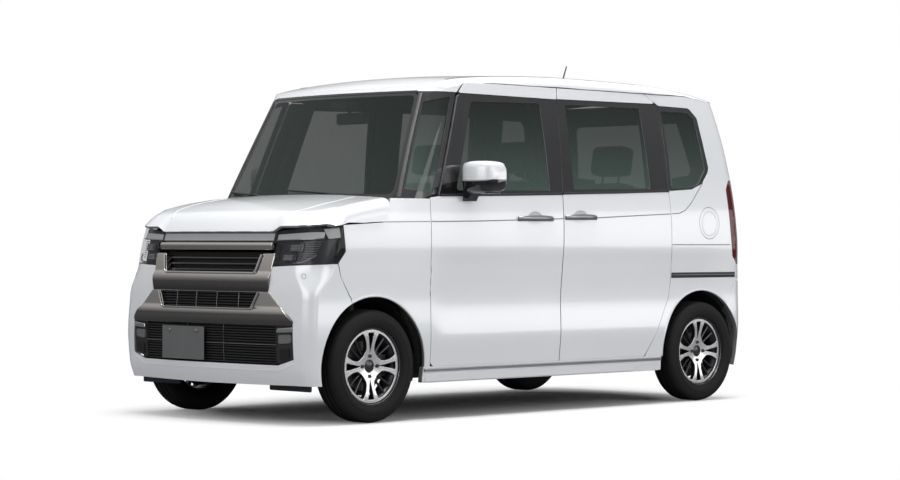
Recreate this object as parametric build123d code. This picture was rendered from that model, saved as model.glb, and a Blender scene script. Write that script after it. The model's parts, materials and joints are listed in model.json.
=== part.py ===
"""Tall-bodied kei car with sliding rear doors, modelled in millimetres.

+Z is up, the nose points to -Y and the car's left side is +X. The origin is
on the ground, under the centre of the body. Every panel is cut from one body
surface, so that neighbours stay flush, and carries its own gap.
"""
import os
from math import atan2, cos, degrees, radians, sin, sqrt

from build123d import *

# ---- overall ----
LENGTH = 3395.0
WIDTH = 1475.0
HEIGHT = 1790.0
NOSE = -LENGTH / 2
TAIL = LENGTH / 2
SIDE = WIDTH / 2

# ---- running gear ----
FRONT_AXLE = -1210.0
REAR_AXLE = 1310.0
TRACK = 1305.0
TYRE_R = 278.5
TYRE_W = 155.0
RIM_R = 178.0
HUB_R = 66.0
WHEEL_X = TRACK / 2
DISC_R = 122.0
DRUM_R = 100.0
ARCH_R = 343.0
ARCH_IN_X = 400.0
LINER_T = 4.0

# ---- wall thicknesses and gaps ----
GAP = 5.0
DOOR_GAP = 7.0
SEAT = 0.3
SKIN = 20.0
DOOR_T = 45.0
WALL_T = 50.0
FRAME_IN = 90.0
GLASS_T = 4.0
GLASS_SET = 5.0
HINGE_R = 8.0
BARREL_R = 4.5

# ---- lines across the body side, as (y, z) ----
DOOR_LOW = 266.0
WAIST_Z = 1000.0
BELT_Z = 1130.0
CREASE_Z = 430.0
LOW_CORNER = 70.0
LAMP_CORNER = 165.0
TAIL_CORNER = 75.0
SCREEN_CORNER = 127.0
DOOR_TOP = 1706.0
DOOR_FRONT = -826.0
B_LINE = [(121.0, DOOR_LOW), (146.0, 900.0), (150.0, 1140.0), (180.0, DOOR_TOP)]
SLIDE_BACK = 1037.0
BONNET_BACK = -1098.0
SPOILER_FRONT = 1262.0
TAILGATE_LOW = 560.0
TAILGATE_HALF = 612.0


# ---- small helpers ----
def side_prism(points, x0, x1):
    """Solid over a side-view outline of (y, z) points, from x0 to x1."""
    face = make_face(Plane.YZ * Polyline(*points, close=True))
    return Pos(x0, 0, 0) * extrude(face, x1 - x0, dir=(1, 0, 0))


def front_prism(points, y0, y1):
    """Solid over a front-view outline of (x, z) points, from y0 to y1."""
    face = make_face(Plane.XZ * Polyline(*points, close=True))
    return Pos(0, y0, 0) * extrude(face, y1 - y0, dir=(0, 1, 0))


def block(x0, x1, y0, y1, z0, z1):
    """Box between two corners."""
    return Pos((x0 + x1) / 2, (y0 + y1) / 2, (z0 + z1) / 2) * Box(x1 - x0, y1 - y0, z1 - z0)


def rod_x(y, z, r, x0, x1):
    """Cylinder along X."""
    return Pos((x0 + x1) / 2, y, z) * Rot(0, 90, 0) * Cylinder(r, x1 - x0)


def rod_z(x, y, r, z0, z1):
    """Upright cylinder."""
    return Pos(x, y, (z0 + z1) / 2) * Cylinder(r, z1 - z0)


def many_sided(r, length, sides):
    """Flat-sided bar along Z, centred; r is the distance of its sides from the middle."""
    step = radians(360 / sides)
    far = r / cos(step / 2)
    plan = [(far * cos(step * (i + 0.5)), far * sin(step * (i + 0.5))) for i in range(sides)]
    return stacked([[(x, y, z) for x, y in plan] for z in (-length / 2, length / 2)])


def bar_x(y, z, r, x0, x1, sides=16):
    """Flat-sided bar along X."""
    return Pos((x0 + x1) / 2, y, z) * Rot(0, 90, 0) * many_sided(r, abs(x1 - x0), sides)


def bar_z(x, y, r, z0, z1, sides=16):
    """Upright flat-sided bar."""
    return Pos(x, y, (z0 + z1) / 2) * many_sided(r, z1 - z0, sides)


def bar_between(a, b, r, sides=12):
    """Flat-sided bar from point a to point b."""
    a, b = Vector(*a), Vector(*b)
    plane = Plane(origin=a, z_dir=(b - a).normalized())
    return plane * Pos(0, 0, (b - a).length / 2) * many_sided(r, (b - a).length, sides)


def solids_of(shape):
    return [Solid(s.wrapped) for s in shape.solids()]


def other_side(shape):
    return shape.mirror(Plane.YZ)


# ---- the body surface: plan outlines stacked in height ----
# height, nose set-back, side set-in, tail set-in, nose corner radius, tail corner radius
LOWER_RINGS = [
    (170.0, 44.0, 13.0, 30.0, LOW_CORNER, TAIL_CORNER),
    (280.0, 9.0, 9.0, 8.0, LOW_CORNER, TAIL_CORNER),
    (CREASE_Z, 3.0, 1.5, 0.0, LOW_CORNER, TAIL_CORNER),
    (620.0, 14.0, 6.0, 0.0, LOW_CORNER, TAIL_CORNER),
    (770.0, 36.0, 3.0, 6.0, LAMP_CORNER, TAIL_CORNER),
    (880.0, 62.0, 0.0, 10.0, LAMP_CORNER, TAIL_CORNER),
    (WAIST_Z, 92.0, 3.0, 20.0, LAMP_CORNER, TAIL_CORNER),
]
UPPER_RINGS = [
    (WAIST_Z, 92.0, 3.0, 20.0, LAMP_CORNER, TAIL_CORNER),
    (BELT_Z, 92.0, 13.0, 32.0, LAMP_CORNER, TAIL_CORNER),
    (1420.0, 92.0, 46.0, 82.0, LAMP_CORNER, TAIL_CORNER),
    (1800.0, 92.0, 102.0, 200.0, LAMP_CORNER, TAIL_CORNER),
]
NOSE_BOW = 62.0
TAIL_BOW = 14.0
SIDE_BOW = 14.0
# height, y of the screen's middle, side set-in
SCREEN_RINGS = [(WAIST_Z, -1134.0, 3.0), (BELT_Z, -1070.0, 13.0), (1420.0, -926.0, 46.0), (1800.0, -738.0, 102.0)]
SCREEN_BOW = 92.0


# outward directions of the flat facets on the car's left half, in degrees from +X
PLAN_FACETS = [-90.0, -86.7, -83.4, -79.0, -71.0, -56.0, -41.0, -26.0, -10.0, -0.6, 0.0, 0.6, 12.0, 34.0, 56.0,
               78.0, 88.6, 90.0]


def arc_circle(tip, half, bow):
    """Radius of the arc with the given bow over twice the half width, and its centre's distance behind the tip."""
    radius = (half * half + bow * bow) / (2 * bow)
    return radius, tip - radius


def crossing(a, ra, b, rb):
    """Point at distance ra from a and rb from b, to the right of the way from a to b."""
    dx, dy = b[0] - a[0], b[1] - a[1]
    d = sqrt(dx * dx + dy * dy)
    along = (ra * ra - rb * rb + d * d) / (2 * d)
    across_ = sqrt(ra * ra - along * along)
    return (a[0] + (along * dx + across_ * dy) / d, a[1] + (along * dy - across_ * dx) / d)


def heading(a, b):
    """Direction from a to b in degrees from the first axis."""
    return degrees(atan2(b[1] - a[1], b[0] - a[0]))


def tangent_corners(facets, circles, limits):
    """Corner points of the polygon whose sides touch a run of arcs in the facets' directions.

    circles lists (centre, radius) along the run; limits are the directions where one arc gives way to the next.
    """
    lines = []
    for angle in facets:
        (cx, cy), r = circles[sum(1 for limit in limits if angle > limit)]
        nx, ny = cos(radians(angle)), sin(radians(angle))
        lines.append((nx, ny, cx * nx + cy * ny + r))
    corners = []
    for (ax, ay, ah), (bx, by, bh) in zip(lines, lines[1:]):
        det = ax * by - ay * bx
        corners.append(((ah * by - bh * ay) / det, (ax * bh - bx * ah) / det))
    return corners


def ring(nose, side, tail, nose_r, tail_r, bow, inset):
    """Plan outline of the body as (x, y) corners, bowed a little on each of its four sides."""
    half = side - SIDE_BOW
    mid, reach = (nose + bow + tail - TAIL_BOW) / 2, (tail - TAIL_BOW - nose - bow) / 2
    nose_big, nose_y = arc_circle(-nose, half, bow)
    side_big, side_x = arc_circle(side, reach, SIDE_BOW)
    tail_big, tail_y = arc_circle(tail, half, TAIL_BOW)
    front, flank, rear = (0.0, -nose_y), (side_x, mid), (0.0, tail_y)
    nose_r, tail_r = max(nose_r - inset, 12.0), max(tail_r - inset, 12.0)
    front_c = crossing(flank, side_big - inset - nose_r, front, nose_big - inset - nose_r)
    rear_c = crossing(rear, tail_big - inset - tail_r, flank, side_big - inset - tail_r)
    circles = [(front, nose_big - inset), (front_c, nose_r), (flank, side_big - inset), (rear_c, tail_r),
               (rear, tail_big - inset)]
    limits = [heading(front, front_c), heading(flank, front_c), heading(flank, rear_c), heading(rear, rear_c)]
    left = tangent_corners(PLAN_FACETS, circles, limits)
    return left + [(-x, y) for x, y in reversed(left)]


def stacked(rings):
    """Flat-sided solid through rings of equally many 3-D points."""
    faces = [Face(Wire.make_polygon([Vector(*p) for p in ring_])) for ring_ in (rings[0], rings[-1])]
    for low, high in zip(rings, rings[1:]):
        for i in range(len(low)):
            j = (i + 1) % len(low)
            faces.append(Face(Wire.make_polygon([Vector(*p) for p in (low[i], low[j], high[j], high[i])])))
    return Solid(Shell(faces))


def body(inset, rings):
    """Solid inside the body surface by the inset, over the given rings."""
    return stacked([
        [(x, y, z) for x, y in ring(NOSE + back, SIDE - side, TAIL - tail, nose_r, tail_r, NOSE_BOW, inset)]
        for z, back, side, tail, nose_r, tail_r in rings
    ])


def screen_body(inset):
    """Solid inside the windscreen's surface and the sides behind it, by the inset."""
    return stacked([
        [(x, y, z) for x, y in ring(screen_y + inset * 0.12, SIDE - side, TAIL - 400, SCREEN_CORNER, 60.0, SCREEN_BOW,
                                    inset)]
        for z, screen_y, side in SCREEN_RINGS
    ])


_cache = {}


def lower(inset):
    if ("low", inset) not in _cache:
        _cache["low", inset] = body(inset, LOWER_RINGS)
    return _cache["low", inset]


def upper(inset):
    if ("up", inset) not in _cache:
        _cache["up", inset] = body(inset, UPPER_RINGS)
    return _cache["up", inset]


# ---- roof and bonnet: cross-sections along the car ----
# y, height of the middle
ROOF_SECTIONS = [(-880.0, 1650.0), (-700.0, 1712.0), (-500.0, 1752.0), (-200.0, 1775.0), (300.0, HEIGHT),
                 (900.0, 1784.0), (1250.0, 1758.0), (1600.0, 1704.0)]
ROOF_CROWN = 26.0
ROOF_CORNER = 62.0
BONNET_SECTIONS = [(-1720.0, 975.0), (-1520.0, 1045.0), (-1300.0, 1100.0), (-1020.0, 1142.0)]
BONNET_CROWN = 26.0
BONNET_CORNER = 75.0
BONNET_T = 26.0


ROOF_FACETS = [24.0, 40.0, 56.0, 72.0, 86.6, 88.4, 90.0]
BONNET_FACETS = [14.0, 32.0, 50.0, 68.0, 86.6, 88.4, 90.0]


def crowned(y, top, drop, foot, shoulder, crown, corner, facets, inset):
    """Cross-section at y with slanted sides up to a crowned top with rounded corners, as 3-D points."""
    big, _ = arc_circle(0.0, shoulder, crown)
    slant = degrees(atan2(foot - shoulder, drop - crown))
    nx, nz = cos(radians(slant)), sin(radians(slant))
    reach = nx * shoulder + nz * (top - crown) - inset
    r = corner - inset
    centre = (0.0, top - big)
    k = reach - r - nz * centre[1]
    up = sqrt((big - inset - r) ** 2 - k * k)
    corner_c = (centre[0] + k * nx - up * nz, centre[1] + k * nz + up * nx)
    far = (corner_c[0] - 1e6 * nx, corner_c[1] - 1e6 * nz)
    circles = [(far, 1e6 + r), (corner_c, r), (centre, big - inset)]
    points = tangent_corners([slant, *facets], circles, [slant, heading(centre, corner_c)])
    foot_z = top - drop
    left = [((reach - nz * foot_z) / nx, foot_z), *points]
    return [(x, y, z) for x, z in left] + [(-x, y, z) for x, z in reversed(left)]


def roof_body(inset):
    return stacked([
        crowned(y, top, 230.0, 671.0, 641.0, ROOF_CROWN, ROOF_CORNER, ROOF_FACETS, inset)
        for y, top in ROOF_SECTIONS
    ])


def bonnet_body(inset):
    return stacked([
        crowned(y, top, 175.0, SIDE, SIDE, BONNET_CROWN, BONNET_CORNER, BONNET_FACETS, inset)
        for y, top in BONNET_SECTIONS
    ])


def plan_prism(z0, z1, nose, side, nose_r, inset=0.0):
    """Upright prism over a plan outline with the body's bowed nose."""
    plan = ring(nose, side, TAIL, nose_r, TAIL_CORNER, NOSE_BOW, inset)
    return stacked([[(x, y, z) for x, y in plan] for z in (z0, z1)])


def shell(region, outer, inner):
    """The part of the body wall in a region, between two insets."""
    pieces = []
    for surface in (lower, upper):
        piece = surface(outer) & region
        if piece and piece.solids():
            pieces.append(piece - surface(inner))
    return pieces[0] if len(pieces) == 1 else pieces[0] + pieces[1]


def largest(shape):
    """The main solid of a cut, without the shavings at its corners."""
    return max(solids_of(shape), key=lambda s: s.volume)


# ---- outlines in side view, as (y, z) ----
def shifted(points, dy, dz=0.0):
    return [(y + dy, z + dz) for y, z in points]


B_FRONT = B_LINE
B_REAR = shifted(B_LINE, DOOR_GAP)
SASH = [(-826.0, 1110.0), (-762.0, 1120.0), (-562.0, 1650.0), (-505.0, DOOR_TOP)]
SLIDE_REAR = [(893.0, DOOR_TOP), (1003.0, 1645.0), (1030.0, 1170.0), (SLIDE_BACK, 1036.0),
              (SLIDE_BACK, 685.0), (1020.0, 580.0), (967.0, 492.0), (904.0, 383.0), (815.0, DOOR_LOW)]
DOOR_OUTLINE = [(-812.0, DOOR_LOW + 20), (DOOR_FRONT, 310.0), *SASH, *reversed(B_FRONT), (-790.0, DOOR_LOW)]
SLIDE_OUTLINE = [*B_REAR, *SLIDE_REAR]
BUMPER_SEAM = [(-1420.0, 975.0), (-1405.0, 840.0), (-1451.0, 784.0), (-1434.0, 719.0), (-1364.0, 614.0)]
REAR_SEAM = [(1515.0, 512.0), (1612.0, 673.0)]
LAMP_REAR = [(1570.0, 1242.0), (1544.0, 1190.0), (1565.0, 951.0), (1582.0, 815.0), (1621.0, 766.0)]
FRONT_GLASS = [(-640.0, 1150.0), (-478.0, 1612.0), (40.0, 1622.0), (60.0, 1160.0)]
SLIDE_GLASS = [(245.0, 1168.0), (235.0, 1624.0), (850.0, 1628.0), (880.0, 1182.0)]
QUARTER_GLASS = [(1055.0, 1186.0), (1030.0, 1618.0), (1262.0, 1618.0), (1318.0, 1582.0), (1372.0, 1300.0),
                 (1300.0, 1205.0), (1235.0, 1192.0)]
SAIL_GLASS = [(-930.0, 1135.0), (-800.0, 1135.0), (-640.0, 1560.0), (-690.0, 1560.0)]
BONNET_EDGE = [(-1800.0, 945.0), (-1625.0, 945.0), (-1425.0, 972.0), (-1151.0, 987.0), (-1103.0, 1098.0)]
BONNET_HINGE = (-1116.0, 1106.0)
TAILGATE_HINGE = (SPOILER_FRONT + 10.0, 1754.0)
DOOR_HINGE = (SIDE - 11.0, DOOR_FRONT + HINGE_R)
DOOR_HINGE_Z = [500.0, 850.0]
HINGE_H = 40.0
FUEL_Y, FUEL_Z, FUEL_R = 1375.0, 997.0, 88.0
FUEL_FLOOR = SIDE - 50.0
FAR = 900.0


ARCH_SIDES = 48


def arch(axle, r, x_in=ARCH_IN_X):
    """Flat-sided bar that cuts a wheel arch on the left side."""
    return bar_x(axle, TYRE_R, r, x_in, FAR, ARCH_SIDES)


def arches(r, x_in=ARCH_IN_X):
    cyl = arch(FRONT_AXLE, r, x_in) + arch(REAR_AXLE, r, x_in)
    return cyl + other_side(cyl)


# ---- doors ----
def door_wall(outline, opening, thick):
    wall = shell(side_prism(outline, 300, FAR), 0, thick)
    return wall - side_prism(opening, 300, FAR)


def front_door():
    door = door_wall(DOOR_OUTLINE, FRONT_GLASS, DOOR_T)
    hx, hy = DOOR_HINGE
    door -= block(hx, FAR, DOOR_FRONT - 1, hy, 0, WAIST_Z + 200) - rod_z(hx, hy, HINGE_R, 0, WAIST_Z + 200)
    rebate = side_prism([(y - 14, z) for y, z in B_FRONT] + [(y + 20, z) for y, z in reversed(B_FRONT)], 300, FAR)
    door -= lower(22) & rebate
    door -= upper(22) & rebate
    for z in DOOR_HINGE_Z:
        door -= block(hx - 60, hx + BARREL_R + SEAT, hy - 40, hy + 14, z - HINGE_H / 2 - SEAT, z + HINGE_H / 2 + SEAT)
    return door + handle(*FRONT_HANDLE)


HANDLE_OUT = 20.0
FRONT_HANDLE = (-200.0, 62.0, 982.0, 1032.0)
REAR_HANDLE = (163.0, 406.0, 989.0, 1043.0)


def handle(y0, y1, z0, z1):
    """Grip bar on two feet that reach into the door's skin."""
    grip = block(SIDE + 6, SIDE + HANDLE_OUT, y0, y1, z0, z1)
    feet = block(SIDE - 18, SIDE + HANDLE_OUT, y0, y0 + 34, z0 + 6, z1 - 6)
    return grip + feet + block(SIDE - 18, SIDE + HANDLE_OUT, y1 - 34, y1, z0 + 6, z1 - 6)


# sections of the mirror housing along X: x, front y, rear y, bottom z, top z
MIRROR_SECTIONS = [(742.0, -616.0, -500.0, 1150.0, 1284.0), (762.0, -640.0, -488.0, 1136.0, 1300.0),
                   (900.0, -628.0, -484.0, 1134.0, 1298.0), (930.0, -596.0, -492.0, 1160.0, 1272.0)]
MIRROR_CHAMFER = 24.0


def mirror():
    """Door mirror on a foot that stands on the door's skin below the glass."""
    c = MIRROR_CHAMFER
    housing = stacked([
        [(x, y0 + c, z0), (x, y1 - c / 2, z0), (x, y1, z0 + c / 2), (x, y1, z1 - c / 2), (x, y1 - c / 2, z1),
         (x, y0 + c, z1), (x, y0, z1 - c), (x, y0, z0 + c)]
        for x, y0, y1, z0, z1 in MIRROR_SECTIONS
    ])
    foot = block(690, 800, -602, -524, 1092, 1160) - lower(-SEAT) - upper(-SEAT)
    return housing + foot


def aerial():
    """Short rod aerial on its base at the back of the roof."""
    base = (bar_z(0, 933, 20, 1770, 1806, 12) - roof_body(-SEAT))
    return base + bar_between((0, 933, 1800), (0, 973, 1897), 5, 8)


def glass(outline, inner=GLASS_SET + GLASS_T):
    """Side pane that fills an opening, with a small gap all round."""
    pane = offset(make_face(Plane.YZ * Polyline(*outline, close=True)), -SEAT)
    return shell(Pos(300, 0, 0) * extrude(pane, 600, dir=(1, 0, 0)), GLASS_SET, inner)


def door_hinges():
    hx, hy = DOOR_HINGE
    parts = []
    for z in DOOR_HINGE_Z:
        barrel = rod_z(hx, hy, BARREL_R, z - HINGE_H / 2, z + HINGE_H / 2)
        leaf = block(SIDE - WALL_T - 30, hx, hy - 4, hy + 4, z - HINGE_H / 2, z + HINGE_H / 2)
        parts.append(barrel + leaf)
    return parts


# ---- body in white ----
def body_frame():
    """Side frames behind the doors, with their two door openings."""
    region = side_prism([(-950.0, 245.0), (-950.0, 1040.0), (-700.0, 1100.0), (-520.0, 1600.0), (-480.0, 1700.0),
                         (-480.0, 1745.0), (1210.0, 1745.0), (1230.0, 1700.0), (1420.0, 1560.0), (1560.0, 1240.0),
                         (1600.0, 640.0), (1500.0, 245.0)], 300, FAR)
    frame = shell(region, WALL_T + SEAT, FRAME_IN)
    frame -= block(0, FAR, -1000, 1600, 1690, 1900) - roof_body(SKIN + SEAT)
    frame -= block(0, FAR, -1000, -947.7, 1040, 1100)
    front = [(-760.0, 310.0), (-770.0, 1040.0), (-600.0, 1150.0), (-440.0, 1630.0), (60.0, 1640.0), (60.0, 310.0)]
    rear = [(235.0, 310.0), (225.0, 1640.0), (860.0, 1640.0), (930.0, 1600.0), (950.0, 700.0), (930.0, 600.0),
            (850.0, 440.0), (760.0, 310.0)]
    quarter = [(1060.0, 1200.0), (1040.0, 1610.0), (1250.0, 1605.0), (1350.0, 1300.0), (1290.0, 1210.0)]
    for hole in (front, rear, quarter):
        frame -= side_prism(hole, 300, FAR)
    frame -= arch(REAR_AXLE, ARCH_R + LINER_T + SEAT)
    frame -= arch(FRONT_AXLE, ARCH_R + LINER_T + SEAT)
    hx, hy = DOOR_HINGE
    for z in DOOR_HINGE_Z:
        frame -= block(SIDE - WALL_T - 30 - SEAT, FAR, hy - 4 - SEAT, hy + 4 + SEAT,
                       z - HINGE_H / 2 - SEAT, z + HINGE_H / 2 + SEAT)
    return frame


def axle_window():
    """Opening in the left rear wheelhouse's inner wall for the axle beam and its spring."""
    beam = block(370, 410, REAR_AXLE - 430, REAR_AXLE + 130, 0, 478)
    return beam + block(445, 515, REAR_AXLE - 399, REAR_AXLE - 320, 200, 306)


def floor_pan():
    inner = FRAME_IN + SEAT
    tub = (lower(inner) & block(-FAR, FAR, -960, 1594, 205, 990))
    tub -= block(-FAR, FAR, -948, 1584, 240, 1100)
    tub -= block(-FAR, FAR, 910, 1584, 100, 470)
    boot = (lower(inner) & block(-FAR, FAR, 900, 1594, 205, 480)) - block(-FAR, FAR, 910, 1584, 100, 470)
    tub += boot
    houses = arches(ARCH_R + LINER_T + 12, ARCH_IN_X - 16) & lower(inner) & block(-FAR, FAR, -960, 1590, 190, 990)
    tub += houses
    tub -= arches(ARCH_R + LINER_T + SEAT, ARCH_IN_X - LINER_T - SEAT)
    tub -= axle_window()
    tub -= other_side(axle_window())
    tub -= block(-FAR, FAR, 1500, 1700, 555, 1100)
    return tub


ROCKER_LOW = 185.0


def rocker():
    """Sill and skirt under the doors, between the two arches."""
    region = side_prism([(-930.0, ROCKER_LOW), (955.0, ROCKER_LOW), (955.0, DOOR_LOW - GAP),
                         (-930.0, DOOR_LOW - GAP)], 300, FAR)
    return (lower(0) & region) - lower(WALL_T) - arches(ARCH_R + LINER_T + SEAT)


def seam_flange(seam, side):
    """Strip behind a bumper's edge that carries it; side is 1 where the panel lies towards the tail."""
    def band(a, b):
        return side_prism([(y + side * a, z) for y, z in seam] + [(y + side * b, z) for y, z in reversed(seam)],
                          500, FAR)
    behind = (lower(SKIN + SEAT) & band(-20, GAP + 12)) - lower(SKIN + 7)
    root = (lower(SKIN - 6) & band(GAP + 2, GAP + 12)) - lower(SKIN + 7)
    return behind + root


def front_fender():
    seam = [(y + GAP, z) for y, z in reversed(BUMPER_SEAM[1:])]
    outline = [(-1359.0, 560.0), *seam, (-1415.0, 967.0), (-1146.0, 982.0), (BONNET_BACK, 1094.0),
               (BONNET_BACK, 1104.0), (DOOR_FRONT - GAP, 1104.0), (DOOR_FRONT - GAP, 261.3), (-1200.0, 261.3)]
    skin = shell(side_prism(outline, 500, FAR), 0, SKIN)
    skin += seam_flange([(-1447.0, 765.0), *BUMPER_SEAM[3:]], 1)
    return skin - arch(FRONT_AXLE, ARCH_R)


def quarter_panel():
    edge = shifted(SLIDE_REAR, GAP)
    outline = [(880.0, 261.3), *reversed(edge), (1760.0, DOOR_TOP), (1760.0, 678.0), (1612.0, 678.0), (1510.0, 514.0),
               (1200.0, 400.0), (1050.0, 261.3)]
    wall = shell(side_prism(outline, 300, FAR), 0, WALL_T)
    wall -= block(-FAR, TAILGATE_HALF + GAP, 1300, FAR * 2, 0, 2000)
    wall -= block(-FAR, FAR, SPOILER_FRONT - GAP, FAR * 2, 1600, 2000) & block(-FAR, 605, 0, FAR * 2, 1600, 2000)
    wall += seam_flange(REAR_SEAM, -1)
    wall -= arch(REAR_AXLE, ARCH_R)
    wall -= side_prism(QUARTER_GLASS, 300, FAR)
    wall -= rear_lamp_region(0)
    wall -= rod_x(FUEL_Y, FUEL_Z, FUEL_R + 4, FUEL_FLOOR, FAR)
    lug_x, lug_y = FUEL_HINGE
    wall = largest(wall)
    wall += block(FUEL_FLOOR - 5, lug_x, lug_y - 2.5, lug_y + 2.5, FUEL_Z - 12, FUEL_Z + 12)
    wall += rod_z(lug_x, lug_y, 3, FUEL_Z - 12, FUEL_Z + 12)
    return wall


FUEL_HINGE = (SIDE - 12.3, FUEL_Y - FUEL_R + 7.0)


def fuel_lid():
    lid = shell(rod_x(FUEL_Y, FUEL_Z, FUEL_R, 660, FAR), 0, 10)
    hx, hy = FUEL_HINGE
    lid -= block(hx - 40, hx + 3 + SEAT, hy - 40, hy + 10, FUEL_Z - 12 - SEAT, FUEL_Z + 12 + SEAT)
    lid -= block(hx, FAR, hy - 60, hy, 0, 1500) - rod_z(hx, hy, 10, 0, 1500)
    return lid


def rear_lamp_region(clear):
    outline = [(y + clear, z + (clear if z < 800 else -clear if z > 1200 else 0)) for y, z in LAMP_REAR]
    outline += [(1800.0, 766.0 + clear), (1800.0, 1242.0 - clear)]
    return side_prism(outline, TAILGATE_HALF + GAP + clear, FAR)


def roof_panel():
    region = side_prism([(-900.0, 1668.3), (-560.0, 1668.3), (-512.0, DOOR_TOP + GAP), (SPOILER_FRONT - GAP, DOOR_TOP + GAP),
                         (SPOILER_FRONT - GAP, 1900.0), (-900.0, 1900.0)], -FAR, FAR)
    outer = roof_body(0) & upper(0) & screen_body(0) & region
    panel = outer - (roof_body(SKIN) & upper(SKIN + 10) & screen_body(SKIN + 10))
    header = block(-540, 540, SPOILER_FRONT - GAP - 40, SPOILER_FRONT - GAP, DOOR_TOP + GAP, 1900) & roof_body(4)
    return panel + header


def windscreen_frame():
    region = side_prism([(-1400.0, 1062.0), (-832.0, 1062.0), (-832.0, 1117.0), (-769.0, 1126.0), (-569.0, 1655.0),
                         (-562.0, 1668.0), (-1000.0, 1668.0)], -FAR, FAR)
    frame = (screen_body(0) & region) - screen_body(38)
    frame -= both_boxes(600, FAR, -1400, -700, 1000, 1104.3)
    frame -= windscreen_hole(0)
    sail = side_prism(SAIL_GLASS, 560, FAR)
    return frame - sail - other_side(sail)


def both_boxes(x0, x1, y0, y1, z0, z1):
    return block(x0, x1, y0, y1, z0, z1) + block(-x1, -x0, y0, y1, z0, z1)


def windscreen_hole(inset):
    pts = [(-645 + inset, 1105 + inset), (-548 + inset, 1648 - inset), (548 - inset, 1648 - inset),
           (645 - inset, 1105 + inset)]
    return front_prism(pts, -1300, -640)


def windscreen():
    return (screen_body(GLASS_SET) & windscreen_hole(SEAT)) - screen_body(GLASS_SET + GLASS_T + 1)


def sail_glass():
    pane = offset(make_face(Plane.YZ * Polyline(*SAIL_GLASS, close=True)), -SEAT)
    return (screen_body(GLASS_SET) & (Pos(560, 0, 0) * extrude(pane, 300, dir=(1, 0, 0)))) - screen_body(GLASS_SET + GLASS_T)


COWL_TOP = 1055.0


def cowl_panel():
    """Tray under the foot of the windscreen, on top of the bulkhead."""
    tray = block(-FAR, FAR, -1112, -948, 1040.3, COWL_TOP) + block(-640, 640, -1150, -1100, 1040.3, COWL_TOP)
    return upper(SKIN + SEAT) & tray


# ---- bonnet ----
def bonnet():
    nose = plan_prism(900, 1200, NOSE + 66, SIDE - 1, 185)
    nose_in = plan_prism(900, 1200, NOSE + 66, SIDE - 1, 185, BONNET_T)
    region = side_prism([*BONNET_EDGE, (-1103.0, 1200.0), (-1800.0, 1200.0)], -FAR, FAR)
    front_round = side_prism([(-1720.0, 900.0), (-1632.0, 945.0), (-1610.0, 1000.0), (-1560.0, 1035.0),
                              (-1500.0, 1060.0), (-1050.0, 1200.0), (-1050.0, 900.0)], -FAR, FAR)
    hood = bonnet_body(0) & nose & region & front_round
    hood -= bonnet_body(BONNET_T) & nose_in
    hy, hz = BONNET_HINGE
    for x in (-500.0, 500.0):
        hood -= block(x - 20 - SEAT, x + 20 + SEAT, hy - 12, hy + 60, hz - 60, hz + BARREL_R + SEAT)
    return hood


def bonnet_hinges():
    hy, hz = BONNET_HINGE
    return [rod_x(hy, hz, BARREL_R, x - 20, x + 20) + block(x - 20, x + 20, hy - 3, hy + 3, COWL_TOP + SEAT, hz)
            for x in (-500.0, 500.0)]


# ---- nose ----
LAMP_FRONT = [(457.0, 769.0), (790.0, 785.0), (790.0, 968.0), (600.0, 962.0), (432.0, 942.0), (432.0, 884.0),
              (457.0, 884.0)]
CLEAR = SEAT / 2


def fitted_prism(outline, clear=CLEAR, y0=-1800.0, y1=-1415.0):
    """Front-view prism, drawn in by a clearance all round."""
    face = offset(make_face(Plane.XZ * Polyline(*outline, close=True)), -clear)
    return Pos(0, y0, 0) * extrude(face, y1 - y0, dir=(0, 1, 0))


def nose_slab(outline, outer, inner):
    """Piece of the nose wall inside a front-view outline."""
    return (lower(outer) & fitted_prism(outline)) - lower(inner)


def across(points):
    """Closed outline from its right-hand half, given as (x, z) from the middle outwards and back."""
    return points + [(-x, z) for x, z in reversed(points)]


U_UPPER = across([(352.0, 737.0), (380.0, 828.0), (457.0, 828.0), (443.0, 644.0)])
U_LOWER = across([(345.0, 560.0), (385.0, 644.0), (443.0, 644.0), (454.0, 640.0), (616.0, 500.0), (616.0, 485.0)])
UPPER_BAR = across([(432.0, 884.0), (432.0, 849.0)])
LIGHT_BAR = across([(432.0, 941.0), (432.0, 884.0)])
GRILLE_UP = across([(457.0, 849.0), (457.0, 828.0), (380.0, 828.0), (352.0, 737.0)])
GRILLE_MID = across([(385.0, 644.0), (345.0, 560.0)])
GRILLE_LOW = across([(616.0, 485.0), (620.0, 320.0), (519.0, 292.0)])
NOSE_HOLE = across([(432.0, 950.0), (432.0, 884.0), (457.0, 884.0), (457.0, 828.0), (443.0, 644.0), (454.0, 640.0),
                    (616.0, 500.0), (616.0, 485.0), (620.0, 320.0), (519.0, 292.0)])


def front_bumper():
    region = side_prism([(-1800.0, 188.0), (-1540.0, 188.0), (-1500.0, 270.0), (-1364.0, 560.0), *reversed(BUMPER_SEAM),
                         (-1430.0, 969.0), (-1625.0, 941.0), (-1800.0, 941.0)], -FAR, FAR)
    skin = (lower(0) & region) - lower(SKIN)
    skin -= arches(ARCH_R)
    skin -= fitted_prism(NOSE_HOLE, -CLEAR, y1=-1450)
    lamp = fitted_prism(LAMP_FRONT, -CLEAR, y1=-1413) & side_prism(
        [(-1800.0, 700.0), (-1460.0, 700.0), (-1446.0, 790.0), (-1405.0, 840.0), (-1420.0, 990.0), (-1800.0, 990.0)],
        -FAR, FAR)
    skin -= lamp
    skin -= other_side(lamp)
    return largest(skin)


def headlamp():
    cut = side_prism([(-1800.0, 700.0), (-1460.3, 700.0), (-1446.3, 790.0), (-1405.3, 840.0), (-1420.3, 966.0),
                      (-1425.0, 966.0), (-1625.0, 940.5), (-1800.0, 940.5)], -FAR, FAR)
    return (lower(2) & fitted_prism(LAMP_FRONT) & cut) - lower(60)


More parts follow.
